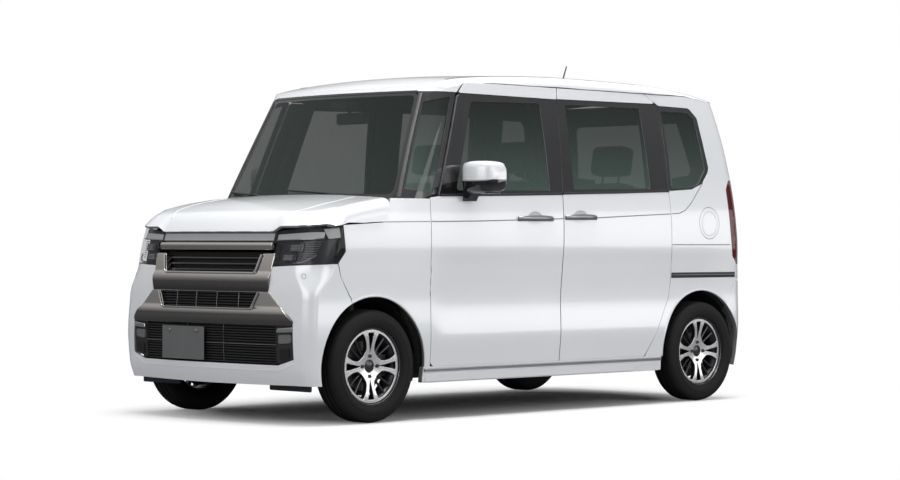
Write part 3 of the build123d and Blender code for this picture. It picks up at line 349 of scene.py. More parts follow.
# name of the material, colour, roughness, metallic, grain, depth of the grain and coat
PLAIN = {
    "bright": ("bright_metal", (0.72, 0.72, 0.72), 0.18, 1.0, 300.0, 0.00001),
    "satin_pillar": ("pillar_strip", (0.11, 0.11, 0.11), 0.35, 0.5, 500.0, 0.00001),
    "satin": ("satin_chrome", (0.34, 0.34, 0.35), 0.30, 0.95, 500.0, 0.00001),
    "black": ("black_plastic", (0.016, 0.016, 0.017), 0.5, 0.0, 1400.0, 0.0001),
    "gloss_black": ("gloss_black", (0.010, 0.010, 0.011), 0.12, 0.0, 200.0, 0.00001, 1.0),
    # painted shadow: a near-black sheet set where there is only shade, behind the grilles, in the ducts, behind the
    # fuel lid and the brake discs, and as a line across the rear bumper
    "painted_shadow": ("shadow", (0.006, 0.006, 0.006), 0.85),
    # painted shade: the walls inside the panel gaps are grey, darker than the paint, for the shade in the gaps
    "gap": ("panel_gap", (0.16, 0.165, 0.17), 0.7),
    # painted shade: grey strips laid along the creases, round the parking sensors and below the skirt trim
    "seam": ("pressed_line", (0.20, 0.205, 0.21), 0.5),
    # painted shade: the two halves of the door handles' cups, which are not pressed into the door
    "cup": ("handle_cup", (0.42, 0.43, 0.445), 0.35, 0.1, 500.0, 0.00001, 0.6),
    "lower_cup_painted_shade": ("handle_cup_low", (0.70, 0.71, 0.73), 0.3, 0.1, 500.0, 0.00001, 0.8),
    "primer": ("inner_paint", (0.035, 0.035, 0.036), 0.55, 0.0, 300.0, 0.0001),
    "steel": ("steel", (0.05, 0.049, 0.047), 0.5, 0.6, 260.0, 0.0002),
    "disc": ("brake_disc", (0.10, 0.098, 0.095), 0.4, 0.8, 400.0, 0.00002),
    "dark_alloy": ("dark_alloy", (0.045, 0.045, 0.047), 0.3, 0.7, 700.0, 0.00002, 0.4),
    # black plastic, made darker than the other black plastic as painted shade inside the wheel arches
    "liner": ("arch_liner", (0.006, 0.006, 0.006), 0.9, 0.0, 700.0, 0.0005),
    "lamp_dark": ("lamp_bezel", (0.045, 0.046, 0.05), 0.28, 0.6, 300.0, 0.00002),
    "plate": ("plate_blank", (0.125, 0.127, 0.127), 0.45, 0.1, 500.0, 0.00005),
}
MATERIALS = {}


def material(name):
    """A material by name, made once from the settings."""
    if name not in MATERIALS:
        s = bpy.context.scene.kei
        makers = {
            "body_paint": lambda: paint_material(tuple(s.body.paint)),
            "garnish": lambda: garnish_material(tuple(s.body.garnish)),
            "machined": lambda: machined_material(tuple(s.wheels.alloy)),
            "rubber": lambda: rubber_material(tuple(s.wheels.rubber)),
            "cloth": lambda: cloth_material(tuple(s.cabin.cloth)),
            "cabin": lambda: plain_material("cabin_plastic", tuple(s.cabin.plastic), 0.6, 0.0, 1200.0, 0.00012),
            "side_glass": lambda: glass_material("side_glass", tuple(s.body.glass), 0.20, pale=7.0),
            "screen_glass": lambda: glass_material("screen_glass", (0.008, 0.014, 0.012), 0.36, pale=2.0),
            "lens": lambda: glass_material("lamp_lens", (0.05, 0.051, 0.055), 0.72),
            "red_lens": lambda: glass_material("red_lens", (0.10, 0.004, 0.004), 0.35),
            # the last number of each lamp reflector below is its faint painted glow
            "lamp_white": lambda: lamp_rib_material("lamp_reflector", (0.66, 0.68, 0.70), 0.005, 0.10),
            "lamp_band": lambda: lamp_rib_material("light_band", (0.72, 0.73, 0.75), 0.004, 0.12),
            "lamp_red": lambda: lamp_rib_material("red_reflector", (0.20, 0.006, 0.006), 0.006, 0.02),
            "lamp_grey": lambda: lamp_rib_material("grey_reflector", (0.34, 0.345, 0.355), 0.004, 0.0),
        }
        MATERIALS[name] = plain_material(*PLAIN[name]) if name in PLAIN else makers[name]()
    return MATERIALS[name]


# ---------------------------------------------------------------- body surface
# height, nose set-back, side set-in, tail set-in, nose corner radius, tail corner radius
BODY_ROWS = [
    (0.170, 0.044, 0.0130, 0.030, 0.070, 0.075),
    (0.280, 0.009, 0.0090, 0.008, 0.070, 0.075),
    (0.430, 0.003, 0.0015, 0.000, 0.070, 0.075),
    (0.620, 0.014, 0.0060, 0.000, 0.070, 0.075),
    (0.770, 0.036, 0.0030, 0.006, 0.165, 0.075),
    (0.880, 0.062, 0.0000, 0.010, 0.165, 0.075),
    (1.000, 0.092, 0.0030, 0.020, 0.165, 0.075),
    (1.130, 0.092, 0.0130, 0.032, 0.165, 0.075),
    (1.420, 0.092, 0.0460, 0.082, 0.165, 0.075),
    (1.800, 0.092, 0.1020, 0.200, 0.165, 0.075),
]
# height, depth of the hollow pressed along the doors
HOLLOW_ROWS = [(0.10, 0.0), (0.395, 0.0), (0.470, 0.0032), (0.550, 0.0068), (0.640, 0.0056), (0.770, 0.0026),
               (0.860, 0.0), (1.90, 0.0)]
# where along the car the hollow starts, is at its full depth, starts to fade and ends
HOLLOW_Y = (-0.835, -0.70, 1.30, 1.55)
# height, y of the screen's middle, side set-in
SCREEN_ROWS = [(1.000, -1.134, 0.003), (1.130, -1.070, 0.013), (1.420, -0.926, 0.046), (1.800, -0.738, 0.102)]
# y, height of the middle
ROOF_ROWS = [(-0.880, 1.650), (-0.700, 1.712), (-0.500, 1.752), (-0.200, 1.775), (0.300, 1.790), (0.900, 1.784),
             (1.250, 1.758), (1.600, 1.704)]
BONNET_ROWS = [(-1.720, 0.975), (-1.520, 1.045), (-1.300, 1.100), (-1.020, 1.142)]
# cross-sections: drop to the foot, half width at the foot and at the shoulder, crown, corner radius
ROOF_SECTION = (0.230, 0.671, 0.641, 0.026, 0.062)
BONNET_SECTION = (0.175, SIDE, SIDE, 0.026, 0.075)
# the bonnet's front edge: length of the roll, height over the light band, how much higher it is over the
# headlamps, and where and over what width it rises
BONNET_ROLL, BONNET_LIP, LIP_RISE, RISE_X, RISE_WIDTH = 0.11, 0.938, 0.027, 0.425, 0.05
# how far the nose and the windscreen bow forwards in plan
NOSE_BOW, SCREEN_BOW = 0.062, 0.092


def smooth_row(rows, at):
    """Values of a table at a place between its rows, without overshoot."""
    keys = [r[0] for r in rows]
    at = min(max(at, keys[0]), keys[-1])
    i = min(sum(1 for k in keys[1:] if at >= k), len(rows) - 2)
    span = keys[i + 1] - keys[i]
    t = (at - keys[i]) / span
    out = []
    for c in range(1, len(rows[0])):
        steps = [(b[c] - a[c]) / (b[0] - a[0]) for a, b in zip(rows, rows[1:])]

        def slope(j):
            if j == 0 or j == len(rows) - 1:
                return steps[min(j, len(steps) - 1)]
            a, b = steps[j - 1], steps[j]
            return 0.0 if a * b <= 0 else 2 * a * b / (a + b)
        p0, p1 = rows[i][c], rows[i + 1][c]
        m0, m1 = slope(i) * span, slope(i + 1) * span
        out.append(p0 * (2 * t ** 3 - 3 * t * t + 1) + m0 * (t ** 3 - 2 * t * t + t)
                   + p1 * (3 * t * t - 2 * t ** 3) + m1 * (t ** 3 - t * t))
    return out


def crossing(a, ra, b, rb):
    """Point at distance ra from a and rb from b, to the right of the way from a to b."""
    dx, dy = b[0] - a[0], b[1] - a[1]
    d = math.hypot(dx, dy)
    along = (ra * ra - rb * rb + d * d) / (2 * d)
    off = math.sqrt(max(ra * ra - along * along, 0))
    return (a[0] + (along * dx + off * dy) / d, a[1] + (along * dy - off * dx) / d)


def plan_arcs(nose, side, tail, nose_r, tail_r, nose_bow):
    """The five arcs of one plan outline from the middle of the nose to the middle of the tail."""
    bow = 0.014
    half = side - bow
    y0, y1 = nose + nose_bow, tail - bow
    big_n = (half * half + nose_bow ** 2) / (2 * nose_bow)
    big_s = (((y1 - y0) / 2) ** 2 + bow * bow) / (2 * bow)
    big_t = (half * half + bow * bow) / (2 * bow)
    cn, cs, ct = (0.0, nose + big_n), (side - big_s, (y0 + y1) / 2), (0.0, tail - big_t)
    cf = crossing(cs, big_s - nose_r, cn, big_n - nose_r)
    cr = crossing(ct, big_t - tail_r, cs, big_s - tail_r)
    a1 = math.atan2(cf[1] - cn[1], cf[0] - cn[0])
    a2 = math.atan2(cf[1] - cs[1], cf[0] - cs[0])
    a3 = math.atan2(cr[1] - cs[1], cr[0] - cs[0])
    a4 = math.atan2(cr[1] - ct[1], cr[0] - ct[0])
    turns = [-math.pi / 2, a1, a2, a3, a4, math.pi / 2]
    return list(zip((cn, cf, cs, cr, ct), (big_n, nose_r, big_s, tail_r, big_t), turns, turns[1:]))


@lru_cache(maxsize=None)
def body_arcs(z):
    back, side, tail, nose_r, tail_r = smooth_row(BODY_ROWS, z)
    return plan_arcs(NOSE + back, SIDE - side, TAIL - tail, nose_r, tail_r, NOSE_BOW)


@lru_cache(maxsize=None)
def screen_arcs(z):
    """Plan of the windscreen and the sails beside it; nothing is laid on its rear half."""
    y, side = smooth_row(SCREEN_ROWS, z)
    return plan_arcs(y, SIDE - side, TAIL - 0.4, 0.127, 0.06, SCREEN_BOW)


# how far round the outline each arc reaches, for flat drawing
REACH = [0.0, 0.60, 0.83, 3.60, 3.72, 4.32]
TO_TAIL = REACH[-1]
# where round the outline places on the side, the nose and the tail are looked for
SIDE_SPAN, NOSE_SPAN, TAIL_SPAN = (0.01, 4.3), (-0.82, 0.82), (3.0, TO_TAIL)
# distance between the points at which an outline follows the body
SAMPLE = 0.05


def on_arcs(arcs, u):
    """Plan point and outward direction at a distance u round the outline; negative u is the car's right side."""
    sign, u = (-1, -u) if u < 0 else (1, u)
    k = min(sum(1 for r in REACH[1:] if u >= r), len(arcs) - 1)
    t = (u - REACH[k]) / (REACH[k + 1] - REACH[k])
    centre, radius, a, b = arcs[k]
    turn = a + (b - a) * t
    c, s = math.cos(turn), math.sin(turn)
    return sign * (centre[0] + radius * c), centre[1] + radius * s, sign * c, s


class Skin:
    """A surface that flat outlines are laid on. at(u, v) gives a point; lift moves it outwards."""

    def __init__(self, point, lift=0.0):
        self.point, self.lift = point, lift

    def normal(self, u, v):
        e = 0.0004
        a = self.point(u + e, v) - self.point(u - e, v)
        b = self.point(u, v + e) - self.point(u, v - e)
        return a.cross(b).normalized()

    def at(self, u, v, lift=0.0):
        n = self.normal(u, v)
        return self.point(u, v) + n * (self.lift + lift), n


@lru_cache(maxsize=None)
def hollow_depth(z):
    return smooth_row(HOLLOW_ROWS, z)[0]


def body_point(u, z):
    x, y, _, _ = on_arcs(body_arcs(round(z, 5)), u)
    y0, y1, y2, y3 = HOLLOW_Y
    if y0 < y < y3:
        along = min(1.0, (y - y0) / (y1 - y0), (y3 - y) / (y3 - y2))
        x -= math.copysign(hollow_depth(round(z, 5)) * along * along * (3 - 2 * along), x)
    return Vector((x, y, z))


def screen_point(u, z):
    x, y, _, _ = on_arcs(screen_arcs(round(z, 5)), u)
    return Vector((x, y, z))


BODY, SCREEN = Skin(body_point), Skin(screen_point)


def halved(short, lo, hi, steps=32):
    """Place between lo and hi up to which short(place) is true, found by halving."""
    for _ in range(steps):
        mid = (lo + hi) / 2
        lo, hi = (mid, hi) if short(mid) else (lo, mid)
    return (lo + hi) / 2


def find_u(skin, axis, value, z, lo, hi):
    """Where round the outline one coordinate takes a value."""
    rising = skin.point(hi, z)[axis] > skin.point(lo, z)[axis]
    return halved(lambda u: (skin.point(u, z)[axis] < value) == rising, lo, hi)


def side_u(points, skin=BODY):
    """Side-view outline, as (y, z) in metres, laid round the body."""
    return [(find_u(skin, 1, y, z, *SIDE_SPAN), z) for y, z in dense(list(points), SAMPLE, False)]


def side_loop(points):
    """Closed side-view outline laid round the body, followed along its last edge too."""
    return side_u(dense(points, SAMPLE))


def nose_u(points, skin=BODY):
    """Front-view outline, as (x, z), laid round the nose."""
    return [(find_u(skin, 0, x, z, *NOSE_SPAN), z) for x, z in dense(list(points), SAMPLE, False)]


def nose_loop(points, step=SAMPLE, skin=BODY):
    """Closed front-view outline laid round the nose, followed along its last edge too."""
    return nose_u(dense(points, step), skin)


def tail_u(points, skin=BODY):
    """Rear-view outline, as (x, z) on the left half, laid round the tail."""
    return [(find_u(skin, 0, x, z, *TAIL_SPAN), z) for x, z in points]


def tail_point(w, z):
    """Point round the tail: w is 0 in the middle of the tail and grows towards the car's right side."""
    u = TO_TAIL - abs(w)
    x, y, _, _ = on_arcs(body_arcs(round(z, 5)), u)
    return Vector((x if w <= 0 else -x, y, z))


def crowned_point(top, drop, foot, shoulder, crown, corner, w):
    """Point on a crowned cross-section at a distance w from its middle, as (x, z)."""
    sign, w = (-1, -w) if w < 0 else (1, w)
    big = (shoulder ** 2 + crown ** 2) / (2 * crown)
    slant = math.atan2(foot - shoulder, drop - crown)
    nx, nz = math.cos(slant), math.sin(slant)
    reach = nx * shoulder + nz * (top - crown)
    cz = top - big
    k = reach - corner - nz * cz
    up = math.sqrt((big - corner) ** 2 - k * k)
    ox, oz = k * nx - up * nz, cz + k * nz + up * nx
    meet = math.atan2(oz - cz, ox)
    first = big * (math.pi / 2 - meet)
    second = corner * (meet - slant)
    if w < first:
        a = math.pi / 2 - w / big
        return sign * big * math.cos(a), cz + big * math.sin(a)
    if w < first + second:
        a = meet - (w - first) / corner
        return sign * (ox + corner * math.cos(a)), oz + corner * math.sin(a)
    down = w - first - second
    return sign * (ox + corner * nx + down * nz), oz + corner * nz - down * nx


def roof_point(w, y):
    (top,) = smooth_row(ROOF_ROWS, y)
    x, z = crowned_point(top, *ROOF_SECTION, w)
    return Vector((x, y, z))


# plan of the bonnet's front edge
BONNET_EDGE = plan_arcs(NOSE + 0.066, SIDE - 0.001, TAIL, 0.185, 0.09, NOSE_BOW)


def behind_nose(x, y):
    """Distance behind the bonnet's front edge in plan, and how far the edge there faces forwards."""
    (cx, cy), r = BONNET_EDGE[0][:2]
    (fx, fy), corner_r, corner_start = BONNET_EDGE[1][:3]
    x = abs(x)
    turn = math.atan2(y - fy, x - fx)
    if x > fx and y >= fy:
        return SIDE - x, 0.0
    if turn > corner_start and y < fy:
        return corner_r - math.hypot(x - fx, y - fy), math.sin(turn) / math.sin(corner_start)
    return r - math.hypot(x - cx, y - cy), 1.0


def bonnet_point(w, y):
    """Bonnet surface: crowned across, and rolled down at the front edge."""
    (top,) = smooth_row(BONNET_ROWS, y)
    x, z = crowned_point(top, *BONNET_SECTION, w)
    d, ahead = behind_nose(x, y)
    if d < BONNET_ROLL:
        t = 1 - max(d, 0) / BONNET_ROLL
        lip = BONNET_LIP + LIP_RISE * min(1.0, max(0.0, (abs(x) - RISE_X) / RISE_WIDTH))
        z -= max(0.0, z - lip) * t ** 2.6 * ahead ** 0.3
    return Vector((x, y, z))


BACK, ROOF, HOOD = Skin(tail_point), Skin(roof_point), Skin(bonnet_point)


# ---------------------------------------------------------------- flat outlines
def rounded(points, radius, steps=5):
    """Outline with its corners rounded; radius is one value or one for each corner."""
    nothing, nearly_straight, side_share = 1e-6, 1.5, 0.48
    out = []
    n = len(points)
    radii = radius if isinstance(radius, (list, tuple)) else [radius] * n
    for i in range(n):
        p, a, b = Vector(points[i]), Vector(points[i - 1]), Vector(points[(i + 1) % n])
        d1, d2 = (a - p), (b - p)
        l1, l2 = d1.length, d2.length
        if radii[i] <= 0 or l1 < nothing or l2 < nothing:
            out.append(tuple(p))
            continue
        d1, d2 = d1 / l1, d2 / l2
        half = math.acos(max(-1, min(1, d1.dot(d2)))) / 2
        if half > nearly_straight:
            out.append(tuple(p))
            continue
        cut = min(radii[i] / math.tan(half), side_share * l1, side_share * l2)
        q1, q2 = p + d1 * cut, p + d2 * cut
        for k in range(steps + 1):
            t = k / steps
            out.append(tuple(q1 * (1 - t) ** 2 + p * 2 * t * (1 - t) + q2 * t * t))
    return out


def dense(points, step, closed=True):
    """The same outline with points no further apart than the step."""
    out = []
    pairs = list(zip(points, points[1:] + points[:1])) if closed else list(zip(points, points[1:]))
    for a, b in pairs:
        count = max(1, int(math.ceil(math.hypot(b[0] - a[0], b[1] - a[1]) / step)))
        out += [(a[0] + (b[0] - a[0]) * k / count, a[1] + (b[1] - a[1]) * k / count) for k in range(count)]
    return out if closed else out + [points[-1]]


def area(points):
    return sum(a[0] * b[1] - b[0] * a[1] for a, b in zip(points, points[1:] + points[:1])) / 2


def inside(points, polygon):
    """Which of many points lie inside a polygon."""
    p = np.asarray(points, dtype=float)
    poly = np.asarray(polygon, dtype=float)
    x, y = p[:, 0][:, None], p[:, 1][:, None]
    x1, y1 = poly[:, 0][None], poly[:, 1][None]
    x2, y2 = np.roll(poly[:, 0], -1)[None], np.roll(poly[:, 1], -1)[None]
    spans = (y1 > y) != (y2 > y)
    cut = (x2 - x1) * (y - y1) / np.where(y2 == y1, 1e-12, y2 - y1) + x1
    return np.sum(spans & (x < cut), axis=1) % 2 == 1


# distance at which the direction along a skin is felt out
PROBE = 0.001


class Shape:
    """Growing mesh: corners, faces, the direction each corner is shaded in, and a material for each face."""

    def __init__(self):
        self.verts, self.faces, self.normals, self.mats, self.slots = [], [], [], [], []

    def index(self, name):
        if name not in self.slots:
            self.slots.append(name)
        return self.slots.index(name)

    def put(self, verts, faces, mat, normals=None):
        base = len(self.verts)
        self.verts += [tuple(v) for v in verts]
        self.normals += [tuple(n) for n in normals] if normals else [(0.0, 0.0, 0.0)] * len(verts)
        self.faces += [tuple(i + base for i in f) for f in faces]
        self.mats += [self.index(mat)] * len(faces)

    def mirrored(self):
        """Adds the mirror image of everything so far."""
        base = len(self.verts)
        self.verts += [(-x, y, z) for x, y, z in self.verts]
        self.normals += [(-x, y, z) for x, y, z in self.normals]
        self.faces += [tuple(i + base for i in reversed(f)) for f in self.faces]
        self.mats += list(self.mats)
        return self

    def add(self, other):
        """Adds another shape to this one."""
        base = len(self.verts)
        self.verts += other.verts
        self.normals += other.normals
        self.faces += [tuple(i + base for i in f) for f in other.faces]
        self.mats += [self.index(other.slots[m]) for m in other.mats]
        return self

    def other_side(self):
        """The mirror image alone."""
        other = Shape()
        other.verts = [(-x, y, z) for x, y, z in self.verts]
        other.normals = [(-x, y, z) for x, y, z in self.normals]
        other.faces = [tuple(reversed(f)) for f in self.faces]
        other.mats, other.slots = list(self.mats), list(self.slots)
        return other

    def make(self, name, body, nodes=(), slot=None, sharp=35):
        """Turns the shape into a piece of the car that rides on a body and stands for CAD nodes."""
        mesh = bpy.data.meshes.new(name)
        mesh.from_pydata(self.verts, [], self.faces)
        for m in self.slots:
            mesh.materials.append(material(m))
        mesh.polygons.foreach_set("material_index", self.mats)
        mesh.polygons.foreach_set("use_smooth", [True] * len(self.faces))
        mesh.set_sharp_from_angle(angle=math.radians(sharp))
        if any(n != (0.0, 0.0, 0.0) for n in self.normals):
            mesh.normals_split_custom_set([self.normals[loop.vertex_index] for loop in mesh.loops])
        mesh.update()
        obj = bpy.data.objects.new(name, mesh)
        bpy.context.scene.collection.objects.link(obj)
        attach(obj, body)
        if nodes:
            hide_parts(*nodes)
        return obj

    # -- pieces laid on a skin
    def panel(self, skin, outline, mat, holes=(), step=0.03, depth=0.014, edge=None, lift=0.0, wall="gap"):
        """Sheet over a flat outline laid on a skin, with rounded edges and a wall behind them; by default the wall is a
        grey of painted shade.
        """
        edge = bpy.context.scene.kei.body.edge if edge is None else edge
        outline = list(outline) if area(outline) > 0 else list(reversed(outline))
        holes = [list(h) if area(h) < 0 else list(reversed(h)) for h in holes]
        loops = [dense(outline, step)] + [dense(h, step) for h in holes]
        flat, edges = [], []
        for loop in loops:
            base = len(flat)
            flat += loop
            edges += [(base + i, base + (i + 1) % len(loop)) for i in range(len(loop))]
        rim = np.array(flat)
        lo, hi = rim.min(axis=0), rim.max(axis=0)
        gx, gy = np.meshgrid(np.arange(lo[0] + step / 2, hi[0], step), np.arange(lo[1] + step / 2, hi[1], step))
        grid = np.stack([gx.ravel(), gy.ravel()], axis=1)
        if len(grid):
            keep = inside(grid, loops[0])
            for h in loops[1:]:
                keep &= ~inside(grid, h)
            grid = grid[keep]
        if len(grid):
            near = np.min(np.hypot(grid[:, None, 0] - rim[None, :, 0], grid[:, None, 1] - rim[None, :, 1]), axis=1)
            grid = grid[near > step * 0.4]
        points = [Vector(p) for p in flat] + [Vector((float(a), float(b))) for a, b in grid]
        new, _, faces, *_ = delaunay_2d_cdt(points, edges, [], 0, 1e-7)
        centres = np.array([[sum(new[i][0] for i in f) / 3, sum(new[i][1] for i in f) / 3] for f in faces])
        keep = inside(centres, loops[0])
        for h in loops[1:]:
            keep &= ~inside(centres, h)
        faces = [f for f, k in zip(faces, keep) if k]
        verts, normals = [], []
        for p in new:
            v, n = skin.at(p[0], p[1], lift)
            verts.append(v)
            normals.append(n)
        self.put(verts, [f if turned(new, f) else tuple(reversed(f)) for f in faces], mat, normals)
        if depth > 0:
            for loop in loops:
                self.border(skin, loop, mat, wall, edge, depth, lift)

    def border(self, skin, loop, mat, wall, edge, depth, lift):
        """Rounded edge and wall along one closed outline whose sheet lies on its left."""
        n = len(loop)
        verts, normals, frames = [], [], []
        angles = [0, 30, 60, 90]
        for i in range(n):
            a, p, b = Vector(loop[i - 1]), Vector(loop[i]), Vector(loop[(i + 1) % n])
            d = ((p - a).normalized() + (b - p).normalized())
            d = d.normalized() if d.length > 1e-6 else (b - p).normalized()
            out = (d.y, -d.x)
            here, up = skin.at(p.x, p.y, lift)
            there, _ = skin.at(p.x + out[0] * PROBE, p.y + out[1] * PROBE, lift)
            away = there - here
            away = (away - up * away.dot(up)).normalized()
            frames.append((here, up, away))
        for angle in angles:
            c, s = math.cos(math.radians(angle)), math.sin(math.radians(angle))
            verts += [p + t * edge * s - u * edge * (1 - c) for p, u, t in frames]
            normals += [u * c + t * s for p, u, t in frames]
        faces = [(k * n + i, (k + 1) * n + i, (k + 1) * n + (i + 1) % n, k * n + (i + 1) % n)
                 for k in range(len(angles) - 1) for i in range(n)]
        self.put(verts, faces, mat, normals)
        top = [p + t * edge - u * edge for p, u, t in frames]
        low = [p + t * edge - u * depth for p, u, t in frames]
        side = [t for p, u, t in frames]
        self.put(top + low, [(i, n + i, n + (i + 1) % n, (i + 1) % n) for i in range(n)], wall, side + side)

    def strip(self, skin, path, width, height, mat, lift=0.0, closed=False, step=0.03, sunk=0.0015):
        """Trim of rounded section laid along a path on a skin."""
        path = dense(path, step, closed)
        n = len(path)
        section = [(-0.5, -sunk), (-0.5, height * 0.55), (-0.36, height * 0.92), (0.0, height), (0.36, height * 0.92),
                   (0.5, height * 0.55), (0.5, -sunk)]
        verts = []
        for i in range(n):
            a = Vector(path[i - 1]) if (i or closed) else Vector(path[0])
            b = Vector(path[(i + 1) % n]) if (i < n - 1 or closed) else Vector(path[-1])
            d = (b - a).normalized()
            p, up = skin.at(path[i][0], path[i][1], lift)
            q, _ = skin.at(path[i][0] + d.x * PROBE, path[i][1] + d.y * PROBE, lift)
            along = (q - p).normalized()
            side = along.cross(up).normalized()
            verts += [p + side * (s * width) + up * h for s, h in section]
        m = len(section)
        last = n if closed else n - 1
        faces = [(i * m + k, i * m + k + 1, ((i + 1) % n) * m + k + 1, ((i + 1) % n) * m + k)
                 for i in range(last) for k in range(m - 1)]
        if not closed:
            faces += [tuple(reversed(range(m))), tuple((n - 1) * m + k for k in range(m))]
        self.put(verts, faces, mat)

    # -- free pieces
    def tube(self, points, radius, mat, sides=10, closed=False):
        """Round bar along points; radius is one value or one for each point."""
        points = [Vector(p) for p in points]
        n = len(points)
        radii = radius if isinstance(radius, (list, tuple)) else [radius] * n
        verts = []
        side = None
        for i, p in enumerate(points):
            a = points[i - 1] if (i or closed) else points[0]
            b = points[(i + 1) % n] if (i < n - 1 or closed) else points[-1]
            d = (b - a).normalized()
            if side is None:
                side = d.cross(Vector((0, 0, 1)) if abs(d.z) < 0.9 else Vector((1, 0, 0))).normalized()
            side = (side - d * side.dot(d)).normalized()
            up = d.cross(side)
            verts += [p + (side * math.cos(math.tau * k / sides) + up * math.sin(math.tau * k / sides)) * radii[i]
                      for k in range(sides)]
        last = n if closed else n - 1
        faces = [(i * sides + k, i * sides + (k + 1) % sides, ((i + 1) % n) * sides + (k + 1) % sides,
                  ((i + 1) % n) * sides + k) for i in range(last) for k in range(sides)]
        if not closed:
            faces += [tuple(reversed(range(sides))), tuple((n - 1) * sides + k for k in range(sides))]
        self.put(verts, faces, mat)

    def lathe(self, profile, centre, segments, mat, axis=(1, 0, 0), closed=False):
        """Turned piece: profile lists (distance along the axis, radius)."""
        axis = Vector(axis)
        side = Vector((0, 1, 0)) if abs(axis.y) < 0.5 else Vector((1, 0, 0))
        up = axis.cross(side).normalized()
        side = up.cross(axis).normalized()
        centre = Vector(centre)
        m = len(profile)
        turns = [math.tau * s / segments for s in range(segments)]
        verts = [centre + axis * a + (side * math.cos(turn) + up * math.sin(turn)) * r
                 for turn in turns for a, r in profile]
        last = m if closed else m - 1
        faces = [(s * m + k, ((s + 1) % segments) * m + k, ((s + 1) % segments) * m + (k + 1) % m, s * m + (k + 1) % m)
                 for s in range(segments) for k in range(last)]
        self.put(verts, faces, mat)

    def loft(self, rings, mat):
        """Skin over rings of equally many points, closed at both ends."""
        m = len(rings[0])
        verts = [v for ring in rings for v in ring]
        faces = [(i * m + k, i * m + (k + 1) % m, (i + 1) * m + (k + 1) % m, (i + 1) * m + k)
                 for i in range(len(rings) - 1) for k in range(m)]
        faces += [tuple(reversed(range(m))), tuple((len(rings) - 1) * m + k for k in range(m))]
        self.put(verts, faces, mat)

    def box(self, lo, hi, mat, edge=0.002):
        """Block with chamfered edges."""
        c, h = (Vector(lo) + Vector(hi)) / 2, (Vector(hi) - Vector(lo)) / 2
        e = min(edge, min(h) * 0.45)
        rings = []
        for z, i in ((-h.z, e), (-h.z + e, 0), (h.z - e, 0), (h.z, e)):
            x, y = h.x - i, h.y - i
            rings.append([c + Vector(p) for p in ((-x + e, -y, z), (x - e, -y, z), (x, -y + e, z), (x, y - e, z),
                                                  (x - e, y, z), (-x + e, y, z), (-x, y - e, z), (-x, -y + e, z))])
        self.loft(rings, mat)


def turned(points, face):
    """True if a flat face runs anticlockwise."""
    a, b, c = (points[i] for i in face[:3])
    return (b[0] - a[0]) * (c[1] - a[1]) - (b[1] - a[1]) * (c[0] - a[0]) > 0


# ---------------------------------------------------------------- outlines of the panels, as (y, z)
def arc(axle, a0, a1, radius=ARCH_R, steps=26):
    """Part of a wheel arch between two angles in degrees."""
    y = AXLES[axle]
    return [(y + radius * math.cos(math.radians(a0 + (a1 - a0) * k / steps)),
             TYRE_R + radius * math.sin(math.radians(a0 + (a1 - a0) * k / steps))) for k in range(steps + 1)]


DOOR_LOWER = [(-0.808, 0.266), (0.119, 0.266), (0.146, 0.900), (0.150, 1.137), (-0.300, 1.126), (-0.762, 1.117),
              (-0.826, 1.110), (-0.826, 0.284)]
DOOR_FRAME = [(-0.760, 1.120), (-0.300, 1.130), (0.150, 1.141), (0.171, 1.643), (-0.545, 1.647), (-0.566, 1.636)]
DOOR_TOP = [(-0.560, 1.652), (0.172, 1.648), (0.180, 1.706), (-0.508, 1.706)]
FRONT_GLASS = [(-0.640, 1.150), (-0.478, 1.612), (0.040, 1.622), (0.060, 1.160)]
SLIDE_LOWER = [(0.126, 0.266), (0.812, 0.266), (0.904, 0.383), (0.967, 0.492), (1.020, 0.580), (1.037, 0.685),
               (1.037, 1.036), (1.031, 1.166), (0.157, 1.139), (0.153, 0.900)]
SLIDE_FRAME = [(0.157, 1.143), (1.030, 1.170), (1.004, 1.643), (0.992, 1.652), (0.178, 1.645)]
SLIDE_TOP = [(0.179, 1.650), (0.990, 1.657), (0.895, 1.706), (0.187, 1.706)]
SLIDE_GLASS = [(0.245, 1.168), (0.235, 1.624), (0.850, 1.628), (0.880, 1.182)]
QUARTER_FRAME = [(1.040, 1.172), (1.237, 1.184), (1.330, 1.215), (1.406, 1.296), (1.345, 1.590), (1.280, 1.644),
                 (1.013, 1.648)]
QUARTER_GLASS = [(1.055, 1.186), (1.235, 1.194), (1.300, 1.215), (1.372, 1.300), (1.318, 1.582), (1.262, 1.618),
                 (1.030, 1.618)]
FENDER = [(-0.868, 0.261), (-0.831, 0.261), (-0.831, 1.104), (-1.098, 1.104), (-1.146, 0.984), (-1.415, 0.969),
          (-1.400, 0.840), (-1.446, 0.784), (-1.429, 0.719), (-1.359, 0.614), *arc("front", 115.8, -2.0)]
SKIRT = [(-0.877, 0.188), (0.955, 0.188), (0.955, 0.261), (-0.868, 0.261)]
LAMP_SIDE = [(1.570, 1.242), (1.544, 1.190), (1.565, 0.951), (1.582, 0.815), (1.621, 0.766)]
FUEL_CENTRE, FUEL_R = (1.375, 0.997), 0.088


def circle(centre, radius, steps=40):
    return [(centre[0] + radius * math.cos(math.tau * k / steps), centre[1] + radius * math.sin(math.tau * k / steps))
            for k in range(steps)]


def tail_edge(z0, z1, x=0.617, steps=12):
    """Line down the tail at a fixed distance from the middle, as places round the outline."""
    return tail_u([(x, z0 + (z1 - z0) * k / steps) for k in range(steps + 1)])


def back_w(points):
    """Places round the outline, counted from the middle of the tail."""
    return [(u - TO_TAIL, z) for u, z in points]


def across(points):
    """Outline from its left half, mirrored onto the other half."""
    return points + [(-x, z) for x, z in reversed(points)]


def rect(x0, z0, x1, z1):
    return [(x0, z0), (x1, z0), (x1, z1), (x0, z1)]


